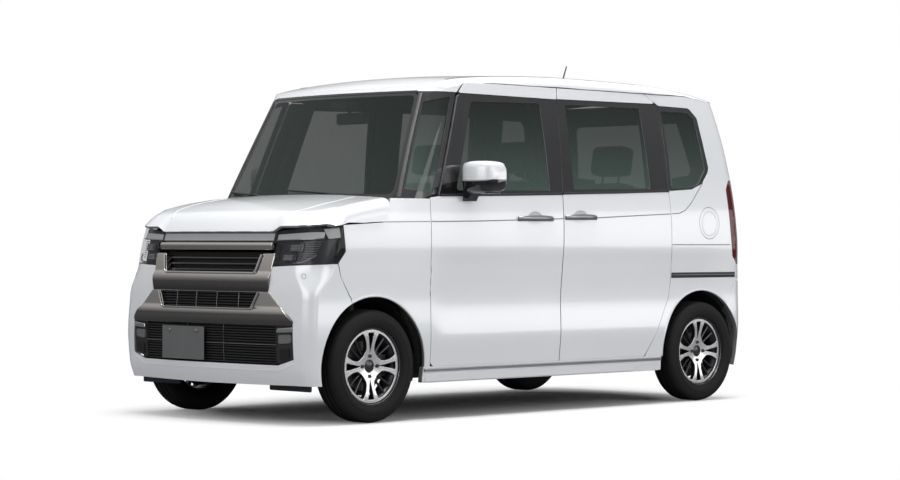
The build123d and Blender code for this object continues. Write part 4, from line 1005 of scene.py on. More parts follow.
# how a side pane sits: its thickness, and how far it and its black frame lie below the paint
PANE = {"depth": 0.004, "lift": -0.006, "wall": "side_glass"}
FRAME_LIFT = -0.002


def window(s, frame_line, glass_line, radii):
    """Pane in its black frame."""
    hole = side_loop(rounded(glass_line, radii))
    s.panel(BODY, side_loop(rounded(frame_line, 0.006)), "gloss_black", [hole], lift=FRAME_LIFT)
    s.panel(BODY, hole, "side_glass", **PANE)


def waist_seal(s, path):
    s.strip(BODY, side_u(path), 0.012, 0.003, "black")


def crease(s, path, width=0.0055):
    """Thin pressed line along the side, drawn as a barely raised grey strip of painted shade."""
    s.strip(BODY, side_u(path), width, 0.0004, "seam", sunk=0.0)


def arch_lip(s, axle, a0, a1):
    s.strip(BODY, side_u(arc(axle, a0, a1, ARCH_R + 0.004)), 0.012, 0.0035, "body_paint")


def door_shape():
    s = Shape()
    s.panel(BODY, side_u(rounded(DOOR_LOWER, [0.01, 0.004, 0.004, 0.003, 0, 0.004, 0.006, 0.01])), "body_paint")
    s.panel(BODY, side_u(rounded(DOOR_TOP, [0.006, 0.003, 0.004, 0.03])), "body_paint")
    window(s, DOOR_FRAME, FRONT_GLASS, [0.02, 0.04, 0.02, 0.015])
    waist_seal(s, [(-0.752, 1.124), (-0.3, 1.134), (0.148, 1.145)])
    handle_shape(s, -0.200, 0.062, 0.982, 1.032)
    crease(s, [(-0.822, 0.991), (-0.485, 0.996), (0.118, 1.012), (0.146, 1.0135)])
    return s


def handle_shape(s, y0, y1, z0, z1):
    """Pull handle of satin chrome over a half-round cup that is painted on, not pressed: grey painted shade in its
    upper half and a paler painted shade in its lower half.
    """
    zc = (z0 + z1) / 2 + 0.004
    grip = [(y0, zc - 0.002), (y0 + 0.03, zc), ((y0 + y1) / 2, zc + 0.002), (y1 - 0.02, zc), (y1, zc - 0.002)]
    line = dense(side_u(grip), 0.02, False)
    rings = []
    for k, (u, z) in enumerate(line):
        p, n = BODY.at(u, z)
        t = k / (len(line) - 1)
        out = 0.020 * min(1, 4.5 * t, 4.5 * (1 - t)) ** 0.5 + 0.004
        tall = 0.016 * (0.75 + 0.25 * math.sin(math.pi * t))
        rings.append([p + n * (out + 0.008 * math.cos(a)) + Vector((0, 0, tall * math.sin(a)))
                      for a in (math.tau * j / 12 for j in range(12))])
    s.loft(rings, "satin")
    mid = (y0 + y1) / 2
    half, above, below = 0.060, 0.040, 0.030
    turns = [math.pi * j / 18 for j in range(37)]
    cup = [(mid + half * math.cos(a), zc + (above if a < math.pi else below) * math.sin(a)) for a in turns]
    # the cup's halves are painted shade on a thin sheet over the door
    for part, mat in ((cup[:19], "cup"), (cup[18:], "lower_cup_painted_shade")):
        s.panel(BODY, side_u(part), mat, depth=0.0, lift=0.0006, step=0.02)
    s.strip(BODY, side_u(cup[:-1]), 0.0035, 0.0012, "body_paint", closed=True)


def slide_shape():
    s = Shape()
    lower = rounded(SLIDE_LOWER, [0.004, 0.02, 0.05, 0.05, 0.05, 0.05, 0.02, 0.01, 0.003, 0])
    s.panel(BODY, side_loop(lower), "body_paint")
    crease(s, [(0.158, 1.0135), (0.355, 1.017), (1.034, 1.0465)])
    s.panel(BODY, side_u(rounded(SLIDE_TOP, [0.004, 0.01, 0.01, 0.004])), "body_paint")
    window(s, SLIDE_FRAME, SLIDE_GLASS, [0.015, 0.02, 0.03, 0.02])
    waist_seal(s, [(0.158, 1.147), (0.6, 1.158), (1.028, 1.174)])
    handle_shape(s, 0.163, 0.406, 0.989, 1.043)
    return s


def quarter_shape(lid):
    """One rear quarter with its window; with lid, it is open for the fuel lid."""
    s = Shape()
    notch = rounded(QUARTER_FRAME, [0, 0.05, 0.06, 0.05, 0.04, 0.05, 0])
    front = [(0.8175, 0.261), (0.909, 0.383), (0.972, 0.492), (1.025, 0.580), (1.042, 0.685), (1.042, 1.036),
             (1.036, 1.168), *notch, (1.008, 1.651), (0.903, 1.706)]
    low = side_u([*arc("rear", 183.0, 49.8), (1.612, 0.678)])
    lamp = side_u(list(reversed(LAMP_SIDE)))
    outline = [*low, *tail_edge(0.678, 0.762, steps=3), *lamp, *tail_edge(1.246, 1.676),
               *side_u([(1.45, 1.6855), (1.24, 1.706)]), *side_u(list(reversed(front)))]
    lid_hole = side_u(circle(FUEL_CENTRE, FUEL_R + 0.003))
    s.panel(BODY, outline, "body_paint", [lid_hole] if lid else [], depth=0.02)
    inner = side_u(rounded(QUARTER_GLASS, [0.01, 0.04, 0.05, 0.04, 0.03, 0.03, 0.01]))
    gap, front_gap = 0.003, 0.0055
    shrunk = [(y - (front_gap if y < 1.1 else gap), z + (gap if z < 1.4 else -gap)) for y, z in QUARTER_FRAME]
    s.panel(BODY, side_u(rounded(shrunk, [0.004, 0.05, 0.06, 0.05, 0.04, 0.05, 0.004])), "gloss_black", [inner],
            lift=FRAME_LIFT)
    s.panel(BODY, inner, "side_glass", **PANE)
    if lid:
        # painted shadow in the recess behind the fuel lid
        s.panel(BODY, side_u(circle(FUEL_CENTRE, FUEL_R + 0.004)), "painted_shadow", depth=0.0, lift=-0.014)
    crease(s, [(1.043, 0.876), (1.562, 0.876)], 0.005)
    s.strip(BODY, side_u([(1.045, 0.7065), (1.608, 0.7065)]), 0.030, 0.0012, "black", sunk=0.0005)
    s.strip(BODY, side_u([(1.050, 0.7065), (1.600, 0.7065)]), 0.012, 0.0030, "gloss_black", sunk=0.0005)
    crease(s, [(1.046, 1.047), (1.112, 1.051), (1.165, 1.068), (1.220, 1.108), (1.290, 1.178), (1.339, 1.225)])
    arch_lip(s, "rear", 182.0, 51.0)
    return s


def fender_shape():
    s = Shape()
    s.panel(BODY, side_u(rounded(FENDER[:10], [0.0, 0.006, 0.004, 0.004, 0.01, 0.004, 0.004, 0.01, 0.01, 0.01])
                         + FENDER[10:]), "body_paint")
    arch_lip(s, "front", 114.0, -1.0)
    crease(s, [(-1.144, 0.9865), (-0.834, 0.991)], 0.004)
    return s


def bumper_front_shape():
    s = Shape()
    low = nose_u([(x / 10, 0.190 + 0.0007 * x) for x in range(0, 7)])
    side = side_u(list(reversed(arc("front", 116.0, 194.5))))
    seam = side_u([(-1.364, 0.610), (-1.434, 0.719), (-1.452, 0.780)])
    lamp = nose_u([(0.700, 0.777), (0.459, 0.766)])
    grille = nose_u([(0.4425, 0.644), (0.4535, 0.640), (0.616, 0.500), (0.618, 0.486), (0.622, 0.320), (0.560, 0.301),
                     (0.519, 0.289), (0.25, 0.289)])
    s.panel(BODY, across([*low, *side, *seam, *lamp, *grille]), "body_paint", depth=0.012, step=0.025)
    s.strip(BODY, nose_u([(-0.62, 0.300), (-0.52, 0.264), (0.52, 0.264), (0.62, 0.300)]), 0.009, 0.0016, "body_paint")
    for sign in (-1, 1):
        sensor = circle((sign * 0.665, 0.722), 0.012, 20)
        # painted shade in the ring round the parking sensor
        s.strip(BODY, sensor, 0.0022, 0.0006, "seam", closed=True, step=0.01)
        s.box((sign * 0.50 - 0.15, -1.565, 0.162), (sign * 0.50 + 0.15, -1.550, 0.205), "black", 0.004)
    return s


def bumper_rear_shape():
    s = Shape()
    side = side_u(list(reversed(arc("rear", -15.0, 49.6))))
    top = [*side_u([(1.612, 0.671)]), *tail_u([(0.617, 0.671), (0.617, 0.556), (0.3, 0.556)])]
    low = tail_u([(0.3, 0.195), (0.55, 0.198)])
    left = back_w([*reversed(top), *side, *reversed(low)])
    s.panel(BACK, across(left), "body_paint", depth=0.02, step=0.028)
    # a thin line of painted shadow across the rear bumper
    s.strip(BACK, back_w(tail_u([(0.56, 0.42), (0.1, 0.42)])) + [(0.5, 0.42)], 0.006, 0.001, "painted_shadow", sunk=0.0)
    for sign in (-1, 1):
        reflector = [(sign * 0.50 + a, 0.46 + b) for a, b in rounded(rect(-0.05, -0.012, 0.05, 0.012), 0.01)]
        s.panel(BACK, reflector, "red_lens", depth=0.006, lift=0.002, wall="black")
    return s


def tailgate_shape():
    s = Shape()
    outline = across(back_w(tail_edge(0.562, 1.690, x=0.612)))
    glass = [(-0.50, 1.180), (0.50, 1.180), (0.48, 1.590), (-0.48, 1.590)]
    hole = rounded(glass, 0.05)
    s.panel(BACK, outline, "body_paint", [hole], depth=0.02)
    pane = [(x * 0.995, z + (0.002 if z < 1.4 else -0.002)) for x, z in glass]
    s.panel(BACK, rounded(pane, 0.05), "side_glass", depth=0.004, lift=-0.004, wall="side_glass")
    s.strip(BACK, hole, 0.022, 0.001, "gloss_black", lift=-0.004, closed=True)
    y_end = [(x, BACK.point(x, 1.703).y - 0.004) for x in (0.585, 0.4, 0.2, 0.0)]
    side = [(roof_w(y, roof_edge(y)), y) for y in (1.262, 1.33, 1.40, 1.46, 1.50)]
    half = [*side, *y_end]
    s.panel(ROOF, [*half, *[(-w, y) for w, y in reversed(half[:-1])]], "body_paint", depth=0.012)
    s.panel(BACK, rounded(rect(-0.10, 1.665, 0.10, 1.685), 0.006), "red_lens", depth=0.003, lift=0.002)
    grip = rounded([(-0.30, 0.900), (0.30, 0.900), (0.29, 0.945), (-0.29, 0.945)], 0.008)
    s.panel(BACK, grip, "black", depth=0.004, lift=0.003)
    plate = rounded(rect(-0.165, 0.690, 0.165, 0.855), 0.006)
    s.panel(BACK, plate, "plate", depth=0.003, lift=0.004, wall="black")
    s.tube([BACK.at(w, 1.20, 0.012)[0] for w in (-0.02, 0.15, 0.33)], 0.006, "black")
    s.tube([BACK.at(w, 1.21, 0.006)[0] for w in (0.05, 0.2, 0.36)], 0.004, "black")
    p, n = BACK.at(-0.02, 1.197)
    s.lathe([(0.0, 0.018), (0.016, 0.016), (0.018, 0.0)], p, 20, "black", axis=n)
    return s


def roof_w(y, z):
    """Distance across the roof at which it comes down to a height."""
    return halved(lambda w: roof_point(w, y).z > z, 0.30, 0.80, 30)


ROOF_SEAM = 1.7115


def roof_edge(y):
    """Height of the seam between the roof and the sides: level, then falling towards the tail."""
    falls_from, slope = 1.24, 0.10
    return ROOF_SEAM - max(0.0, y - falls_from) * slope


def roof_front(u):
    """Where the windscreen's surface meets the roof, as a place on the roof and a height."""
    lo, hi = 1.55, 1.80
    for _ in range(30):
        z = (lo + hi) / 2
        p = screen_point(u, z)
        a, b = 0.0, 0.80
        for _ in range(24):
            w = (a + b) / 2
            a, b = (w, b) if roof_point(w, p.y).x < p.x else (a, w)
        lo, hi = (z, hi) if roof_point(w, p.y).z > z else (lo, z)
    return (w, p.y), z


def roof_shape():
    s = Shape()
    last = side_u([(-0.512, ROOF_SEAM)], SCREEN)[0][0]
    first = nose_u([(0.46, 1.69)], SCREEN)[0][0]
    turn = [first * k / 6 for k in range(6)] + [first + (last - first) * k / 14 for k in range(15)]
    met = [roof_front(u) for u in turn]
    side = [(roof_w(y, ROOF_SEAM), y) for y in (-0.35, 0.0, 0.4, 0.8, 1.0, 1.257)]
    left = [p for p, _ in met] + side
    s.panel(ROOF, [(-w, y) for w, y in reversed(left)][:-1] + left, "body_paint", depth=0.018, step=0.04)
    for sign in (-1, 1):
        rail = [(sign * 0.56, y) for y in (-0.56, -0.2, 0.2, 0.6, 1.0, 1.24)]
        s.strip(ROOF, rail, 0.010, 0.0015, "black", sunk=0.001)
    low = [*nose_u([(0.0, 1.660), (0.540, 1.660), (0.553, 1.655)], SCREEN),
           *side_u([(-0.600, 1.6545), (-0.568, 1.6535)], SCREEN), *side_u([(-0.514, 1.708)], SCREEN)]
    brow = [*low, *[(u, z - 0.001) for u, (_, z) in reversed(list(zip(turn, met)))]]
    s.panel(SCREEN, brow[1:] + [(-u, z) for u, z in reversed(brow[1:-1])], "body_paint", depth=0.012, edge=0.0006)
    return s


def bonnet_shape():
    s = Shape()

    def front_y(w):
        x = bonnet_point(w, -1.4).x
        return halved(lambda y: behind_nose(x, y)[0] < 0.001, -1.75, -1.30)

    def w_at(y, z):
        return halved(lambda w: bonnet_point(w, y).z > z, 0.5, 1.0, 30)
    front = [(w, front_y(w)) for w in (0.0, 0.15, 0.3, 0.4, 0.5, 0.58, 0.64, 0.68, 0.70)]
    rows = [(-1.480, 0.966), (-1.425, 0.974), (-1.300, 0.982), (-1.151, 0.989), (-1.128, 1.040), (-1.106, 1.090)]
    left = front + [(w_at(y, z), y) for y, z in rows if y > front[-1][1] + 0.01]
    s.panel(HOOD, [(-w, y) for w, y in reversed(left)][:-1] + left, "body_paint", depth=0.014, step=0.016)
    for sign in (-1, 1):
        fold = [(sign * w, y) for w, y in ((0.50, -1.14), (0.52, -1.30), (0.50, -1.46), (0.42, -1.56))]
        s.strip(HOOD, fold, 0.016, 0.0022, "body_paint", sunk=0.001)
    return s


# ---------------------------------------------------------------- glass, nose and lamps
def screen_shape():
    s = Shape()
    corners = [(-0.645, 1.105), (0.645, 1.105), (0.548, 1.648), (-0.548, 1.648)]
    pane = nose_loop(rounded(corners, 0.03), 0.06, SCREEN)
    s.panel(SCREEN, pane, "screen_glass", depth=0.004, lift=-0.004, wall="gloss_black", step=0.04)
    band = [(-0.628, 1.128), (0.628, 1.128), (0.535, 1.636), (-0.535, 1.636)]
    inner = nose_loop(rounded(band, 0.03), 0.06, SCREEN)
    s.panel(SCREEN, pane, "gloss_black", [inner], depth=0.0, lift=-0.0038, step=0.03)
    return s


def pillar_shape():
    """Windscreen pillars with the fixed quarter lights, the header and the strip below the glass."""
    s = Shape()
    foot = nose_u([(0.646, 1.103), (0.690, 1.070)], SCREEN)
    outer = side_u([(-0.834, 1.117), (-0.771, 1.135), (-0.672, 1.400), (-0.576, 1.650)], SCREEN)
    inner = nose_u([(0.549, 1.650), (0.597, 1.375), (0.6458, 1.105)], SCREEN)
    strip = nose_u([(0.664, 1.112), (0.614, 1.375), (0.567, 1.645)], SCREEN)
    beside = [(u + 0.026, z) for u, z in strip if 1.125 < z < 1.64]
    sail = rounded([*side_u([(-0.800, 1.130), (-0.612, 1.632)], SCREEN), *reversed(beside)], 0.008, 3)
    s.panel(SCREEN, [*foot, *outer, *inner], "gloss_black", [sail], depth=0.012, lift=-0.001)
    s.panel(SCREEN, sail, "side_glass", depth=0.004, lift=-0.005, wall="side_glass")
    s.strip(SCREEN, strip, 0.020, 0.004, "satin_pillar")
    s.mirrored()
    header = nose_u([(x, 1.6505) for x in (-0.545, -0.3, 0.0, 0.3, 0.545)]
                    + [(x, 1.658) for x in (0.54, 0.3, 0.0, -0.3, -0.54)], SCREEN)
    s.panel(SCREEN, header, "gloss_black", depth=0.01, lift=-0.001)
    low = nose_u([(x, 1.066) for x in (-0.66, -0.4, 0.0, 0.4, 0.66)]
                 + [(x, 1.101) for x in (0.645, 0.3, 0.0, -0.3, -0.645)], SCREEN)
    s.panel(SCREEN, low, "black", depth=0.01, lift=-0.005)
    pivot_z, blade_z = 1.092, 1.112
    for x0, x1, z1 in ((0.52, -0.10, 1.150), (-0.12, -0.62, 1.146)):
        u0, u1, um = (nose_u([(x, 1.12)], SCREEN)[0][0] for x in (x0, x1, (x0 + x1) / 2))
        arm = [SCREEN.at(u, z, lift)[0]
               for u, z, lift in ((u0, pivot_z, 0.012), ((u0 + um) / 2, 1.110, 0.020), (um, 1.126, 0.020))]
        s.tube(arm, [0.007, 0.005, 0.004], "black")
        blade = [SCREEN.at(u0 + (u1 - u0) * t, blade_z + (z1 - blade_z) * t, 0.010)[0] for t in (0.04, 0.3, 0.6, 1.0)]
        s.tube(blade, 0.0045, "black", sides=8)
        s.lathe([(0.0, 0.012), (0.010, 0.011), (0.012, 0.0)], SCREEN.at(u0, pivot_z, 0.002)[0], 20, "black",
                axis=SCREEN.normal(u0, 1.09))
    s.box((-0.115, -0.705, 1.505), (0.115, -0.680, 1.565), "cabin", 0.012)
    s.box((-0.060, -0.800, 1.575), (0.060, -0.700, 1.625), "cabin", 0.012)
    s.tube([(0.0, -0.740, 1.600), (0.0, -0.694, 1.545)], 0.008, "cabin")
    return s


def garnish_shape():
    """Dark bright-work round the grille: the U-shaped frame, its lower flare and the bars above."""
    s = Shape()
    upper = across([(0.353, 0.735), (0.381, 0.826), (0.455, 0.826), (0.4425, 0.646)])
    lower = across([(0.347, 0.558), (0.387, 0.641), (0.441, 0.643), (0.452, 0.638), (0.613, 0.502), (0.613, 0.487)])
    for outline, z0, z1 in ((upper, 0.640, 0.742), (lower, 0.484, 0.566)):
        s.panel(rolled(z0, z1, 0.012), nose_loop(outline, 0.04), "garnish", depth=0.03, edge=0.006, step=0.012,
                wall="garnish")
    bar = across([(0.430, 0.851), (0.430, 0.882)])
    s.panel(rolled(0.845, 0.888, 0.008), nose_loop([*reversed(bar)]), "garnish", depth=0.02, edge=0.004, step=0.008)
    lip_top = [(-0.379, 0.824), (-0.351, 0.735), (0.351, 0.735), (0.379, 0.824)]
    lip_mid = [(-0.386, 0.640), (-0.345, 0.561), (0.345, 0.561), (0.386, 0.640)]
    for path, width in ((lip_top, 0.010), (lip_mid, 0.008)):
        s.strip(BODY, nose_u(dense(rounded_path(path, 0.02), 0.03, False)), width, 0.006, "bright", lift=0.007)
    return s


def rolled(z0, z1, out):
    """The nose surface with a level band swelling outwards, fullest near its top and fading at its ends."""
    end, fade_length, proud = 0.66, 0.14, 0.002

    def point(u, z):
        t = min(max((z - z0) / (z1 - z0), 0.0), 1.0)
        fade = min(1.0, max(0.0, (end - abs(u)) / fade_length))
        return BODY.point(u, z) + BODY.normal(u, z) * (proud + out * fade * math.sin(math.pi * t ** 1.5))
    return Skin(point)


def rounded_path(points, radius):
    """Open path with rounded corners."""
    return rounded(points, [0.0, *[radius] * (len(points) - 2), 0.0])


def slats(s, outline, pitch, bar, deep, mat, back):
    """Level slats across an opening, over a near-black backing sheet of painted shadow."""
    s.panel(BODY, nose_loop(outline), "painted_shadow", depth=0.0, lift=-back, step=0.04)
    zs = [z for _, z in outline]
    z = min(zs) + pitch * 0.6
    while z < max(zs) - pitch * 0.3:
        cuts = []
        for (x0, z0), (x1, z1) in zip(outline, outline[1:] + outline[:1]):
            if (z0 - z) * (z1 - z) < 0:
                cuts.append(x0 + (x1 - x0) * (z - z0) / (z1 - z0))
        if len(cuts) >= 2:
            a, b = min(cuts) + 0.002, max(cuts) - 0.002
            level = nose_u(dense([(a, z), (b, z)], SAMPLE, False))
            s.strip(BODY, level, bar, deep, mat, lift=-back + 0.006, sunk=0.006)
        z += pitch


def upright(s, x, z0, z1, width, height, mat, lift):
    """Upright bar of the grille."""
    s.strip(BODY, nose_u(dense([(x, z0), (x, z1)], 0.02, False)), width, height, mat, lift=lift)


# corners as (x, z) and corner radius of the fog lamp's pod, its lamp, the blade above it and the duct below
FOG_LINES = [
    ([(0.510, 0.300), (0.612, 0.322), (0.610, 0.482), (0.510, 0.482)], 0.008),
    ([(0.522, 0.396), (0.602, 0.402), (0.604, 0.440), (0.522, 0.438)], 0.012),
    ([(0.514, 0.452), (0.610, 0.456), (0.613, 0.474), (0.520, 0.466)], 0.003),
    ([(0.530, 0.316), (0.588, 0.328), (0.588, 0.372), (0.530, 0.368)], 0.004),
]


def grille_shape():
    s = Shape()
    top = across([(0.353, 0.737), (0.379, 0.828), (0.430, 0.828), (0.430, 0.849)])
    slats(s, top, 0.030, 0.010, 0.014, "gloss_black", 0.050)
    mid = across([(0.345, 0.562), (0.385, 0.644)])
    slats(s, mid, 0.0135, 0.006, 0.012, "black", 0.030)
    low = across([(0.519, 0.292), (0.560, 0.301), (0.620, 0.320), (0.616, 0.487)])
    slats(s, low, 0.0130, 0.006, 0.010, "black", 0.028)
    for x in (-0.24, -0.08, 0.08, 0.24):
        upright(s, x, 0.566, 0.640, 0.0025, 0.006, "satin", -0.014)
    s.strip(BODY, nose_u(dense([(-0.505, 0.389), (0.505, 0.389)], SAMPLE, False)), 0.0035, 0.004, "satin", lift=-0.012)
    for sign in (-1, 1):
        upright(s, sign * 0.14, 0.300, 0.484, 0.0025, 0.004, "satin", -0.013)
        upright(s, sign * 0.506, 0.300, 0.484, 0.006, 0.004, "black", -0.013)
        pod, lamp, blade, duct = (nose_u(rounded([(sign * x, z) for x, z in corners], radius))
                                  for corners, radius in FOG_LINES)
        s.panel(BODY, pod, "black", depth=0.012, lift=-0.010, step=0.02)
        s.panel(BODY, lamp, "lamp_grey", depth=0.004, lift=-0.007, step=0.01)
        s.panel(BODY, lamp, "lens", depth=0.003, lift=-0.003, step=0.01)
        s.panel(BODY, blade, "bright", depth=0.008, edge=0.003, lift=0.001, step=0.01)
        # painted shadow inside the duct
        s.panel(BODY, duct, "painted_shadow", depth=0.004, lift=-0.004, step=0.01)
        s.strip(BODY, duct, 0.003, 0.002, "gloss_black", lift=-0.006, closed=True)
    return s


def light_bar_shape():
    s = Shape()
    bar = nose_loop(rounded(rect(-0.430, 0.888, 0.430, 0.938), 0.002))
    band = nose_loop(rounded(rect(-0.428, 0.897, 0.428, 0.930), 0.002))
    s.panel(BODY, bar, "gloss_black", depth=0.02, lift=-0.012, step=0.02)
    s.panel(BODY, band, "lamp_band", depth=0.004, lift=-0.006, step=0.012)
    s.panel(BODY, bar, "lens", depth=0.003, step=0.02)
    return s


def headlamp_shape():
    s = Shape()
    low = nose_u([(0.459, 0.771), (0.60, 0.776), (0.70, 0.7805)])
    side = side_u([(-1.450, 0.787), (-1.407, 0.840), (-1.414, 0.905), (-1.421, 0.960)])
    top = nose_u([(0.700, 0.957), (0.600, 0.955), (0.436, 0.937), (0.436, 0.886), (0.459, 0.884)])
    outline = [*low, *side, *top]
    s.panel(BODY, outline, "lens", depth=0.006, lift=0.001, wall="gloss_black", step=0.02)
    s.panel(BODY, outline, "lamp_dark", depth=0.0, lift=-0.036, step=0.02)
    s.border(BODY, dense(outline, 0.02), "gloss_black", "gloss_black", 0.001, 0.040, -0.006)

    def part(points, mat, lift):
        s.panel(BODY, points, mat, depth=0.006, edge=0.002, lift=lift, step=0.012, wall="lamp_dark")
    u0, u1 = nose_u([(0.446, 0.92)])[0][0], side_u([(-1.510, 0.93)])[0][0]
    band = [(u0, 0.904), (u0 + 0.2, 0.910), (u1, 0.912), (u1, 0.936), (u0 + 0.2, 0.936), (u0, 0.926)]
    part(band, "lamp_band", -0.012)
    s.strip(BODY, [(u0, 0.898), (u0 + 0.2, 0.904), (u1, 0.906)], 0.005, 0.004, "bright", lift=-0.010)
    block = side_u([(-1.495, 0.906), (-1.430, 0.910), (-1.436, 0.955), (-1.510, 0.950)])
    part(block, "lamp_white", -0.008)
    for a, z0, z1 in ((0.085, 0.846, 0.880), (0.050, 0.798, 0.830)):
        u = u0 + a
        part([(u, z0), (u + 0.085, z0 + 0.002), (u + 0.085, z1), (u, z1)], "gloss_black", -0.020)
        for k in range(4):
            z = z0 + 0.006 + k * (z1 - z0 - 0.012) / 3
            s.strip(BODY, [(u + 0.012, z), (u + 0.070, z)], 0.005, 0.004, "lamp_grey", lift=-0.018)
    for k in range(8):
        z = 0.812 + 0.0115 * k
        rib_end = u0 + 0.200 + (u1 - u0 - 0.205) * min(1, 0.62 + 0.06 * k)
        s.strip(BODY, [(u0 + 0.185, z), (rib_end, z)], 0.003, 0.006, "lamp_grey", lift=-0.026)
    guide = [(u0 + 0.135, 0.786), (u0 + 0.19, 0.790), (u0 + 0.24, 0.812), (u1 - 0.02, 0.826)]
    s.strip(BODY, guide, 0.005, 0.006, "satin", lift=-0.012)
    return s


def tail_lamp_shape():
    s = Shape()
    gap = 0.002
    front = [(y + gap, z + (gap if z < 0.8 else -gap if z > 1.2 else 0)) for y, z in reversed(LAMP_SIDE)]
    outline = side_u(front) + tail_edge(1.240, 0.770, steps=8)
    s.panel(BODY, outline, "red_lens", depth=0.010, edge=0.003, lift=0.001, wall="red_lens", step=0.02)
    s.panel(BODY, outline, "lamp_red", depth=0.0, lift=-0.016, step=0.02)
    u = side_u([(1.640, 1.0)])[0][0]
    for z0, z1, mat in ((0.800, 0.900, "lamp_white"), (0.915, 1.020, "lamp_white"), (1.035, 1.220, "lamp_red")):
        s.panel(BODY, rounded(rect(u, z0, u + 0.050, z1), 0.006), mat, depth=0.006, lift=-0.008, step=0.015,
                wall="gloss_black")
    return s


def mirror_shape():
    """Left door mirror: painted cap, dark underside, turn lamp and glass, on a dark foot."""
    s = Shape()
    # sections of the housing: x, front y, rear y, bottom z, top z
    rows = [(0.742, -0.612, -0.500, 1.152, 1.280), (0.756, -0.632, -0.490, 1.140, 1.294),
            (0.800, -0.640, -0.486, 1.136, 1.299), (0.880, -0.632, -0.484, 1.136, 1.298),
            (0.915, -0.612, -0.486, 1.144, 1.290), (0.929, -0.590, -0.492, 1.162, 1.272)]
    steps, squareness, overlap = 24, 0.42, 0.03

    def ring(x, y0, y1, z0, z1, a0, a1):
        """Rounded rectangle, from one angle to another."""
        cy, cz, hy, hz = (y0 + y1) / 2, (z0 + z1) / 2, (y1 - y0) / 2, (z1 - z0) / 2
        out = []
        for k in range(steps):
            a = a0 + (a1 - a0) * k / (steps - 1)
            c, q = (math.copysign(abs(v) ** squareness, v) for v in (math.cos(a), math.sin(a)))
            out.append(Vector((x, cy + hy * c, cz + hz * q)))
        return out
    s.loft([ring(*r, -overlap, math.pi + overlap) for r in rows], "body_paint")
    s.loft([ring(*r, math.pi + overlap, math.tau - overlap) for r in rows], "gloss_black")
    s.box((0.752, -0.600, 1.1335), (0.905, -0.500, 1.150), "gloss_black", 0.006)
    turn_lamp = [(0.770, -0.636, 1.200), (0.82, -0.6415, 1.198), (0.88, -0.6335, 1.198), (0.918, -0.610, 1.200)]
    s.tube(turn_lamp, 0.004, "lamp_grey")
    s.box((0.752, -0.4875, 1.152), (0.908, -0.4835, 1.284), "satin", 0.003)
    foot = [(-0.600, -0.526, 1.096), (-0.596, -0.530, 1.118), (-0.592, -0.520, 1.140), (-0.590, -0.512, 1.152)]
    rings = []
    for (y0, y1, z), x1 in zip(foot, (0.752, 0.768, 0.790, 0.806)):
        rings.append([Vector(p) for p in ((0.716, y0, z), (x1, y0, z), (x1, y1, z), (0.716, y1, z))])
    s.loft(rings, "gloss_black")
    return s


def aerial_shape():
    s = Shape()
    s.lathe([(1.772, 0.021), (1.790, 0.020), (1.800, 0.014), (1.806, 0.006), (1.807, 0.0)], (0, 0.933, 0), 24, "black",
            axis=(0, 0, 1))
    s.tube([(0, 0.933, 1.800), (0, 0.945, 1.826), (0, 0.973, 1.896)], [0.0045, 0.0045, 0.0035], "black")
    return s


def plate_shape():
    s = Shape()
    y = NOSE + 0.0015
    s.box((-0.325, y, 0.3015), (0.005, y + 0.002, 0.4665), "plate", 0.0009)
    for x in (-0.265, -0.055):
        bolt = [(0.0, 0.009), (0.003, 0.009), (0.005, 0.006), (0.005, 0.0)]
        s.lathe(bolt, (x, y, 0.4445), 20, "satin", axis=(0, -1, 0))
    s.box((-0.30, y + 0.002, 0.32), (-0.02, y + 0.018, 0.45), "black", 0.002)
    return s


# ---------------------------------------------------------------- wheels
def place(obj, centre, turn):
    """Puts a wheel piece, made about its own middle, at its axle."""
    obj.location = centre
    obj.rotation_euler = (0, 0, turn)


def tyre_shape(grooves):
    """Tyre about the X axis with its outer side at +X."""
    half, r = TYRE_W / 2, TYRE_R
    tread = [(-half + 0.022, r - 0.004)]
    flat = half - 0.020
    groove_depth = 0.007
    for g in range(grooves):
        c = (g - (grooves - 1) / 2) * 2 * flat / (grooves + 0.6)
        tread += [(c - 0.006, r - 0.0005), (c - 0.005, r - groove_depth), (c + 0.005, r - groove_depth),
                  (c + 0.006, r - 0.0005)]
    tread.append((half - 0.022, r - 0.004))
    shoulder = [(half - 0.012, r - 0.010), (half - 0.004, r - 0.024), (half - 0.001, r - 0.045), (half, r - 0.060),
                (half - 0.004, r - 0.074), (half - 0.009, r - 0.082), (half - 0.011, LIP_R + 0.002),
                (half - 0.018, LIP_R - 0.001), (half - 0.030, RIM_R - 0.001)]
    profile = [(-a, b) for a, b in reversed(shoulder)] + tread + shoulder
    s = Shape()
    s.lathe(profile, (0, 0, 0), 144, "rubber", closed=True)
    for radius in (r - 0.050, LIP_R + 0.006):
        ring = [(half + (0.0004 if radius > 0.2 else -0.0075) - 0.0008, radius * math.cos(a), radius * math.sin(a))
                for a in (math.tau * k / 96 for k in range(96))]
        s.tube(ring, 0.0014, "rubber", sides=6, closed=True)
    return s


def wheel_point(u, v):
    """Dished outer face of the wheel: u and v are measured across it."""
    outer_x, dish, dish_r = 0.050, 0.020, 0.155
    r = math.hypot(u, v)
    return Vector((outer_x - dish * max(0.0, 1 - r / dish_r) ** 1.4, u, v))


FACE = Skin(wheel_point)


def polar(radius, degrees_):
    a = math.radians(degrees_)
    return radius * math.cos(a), radius * math.sin(a)


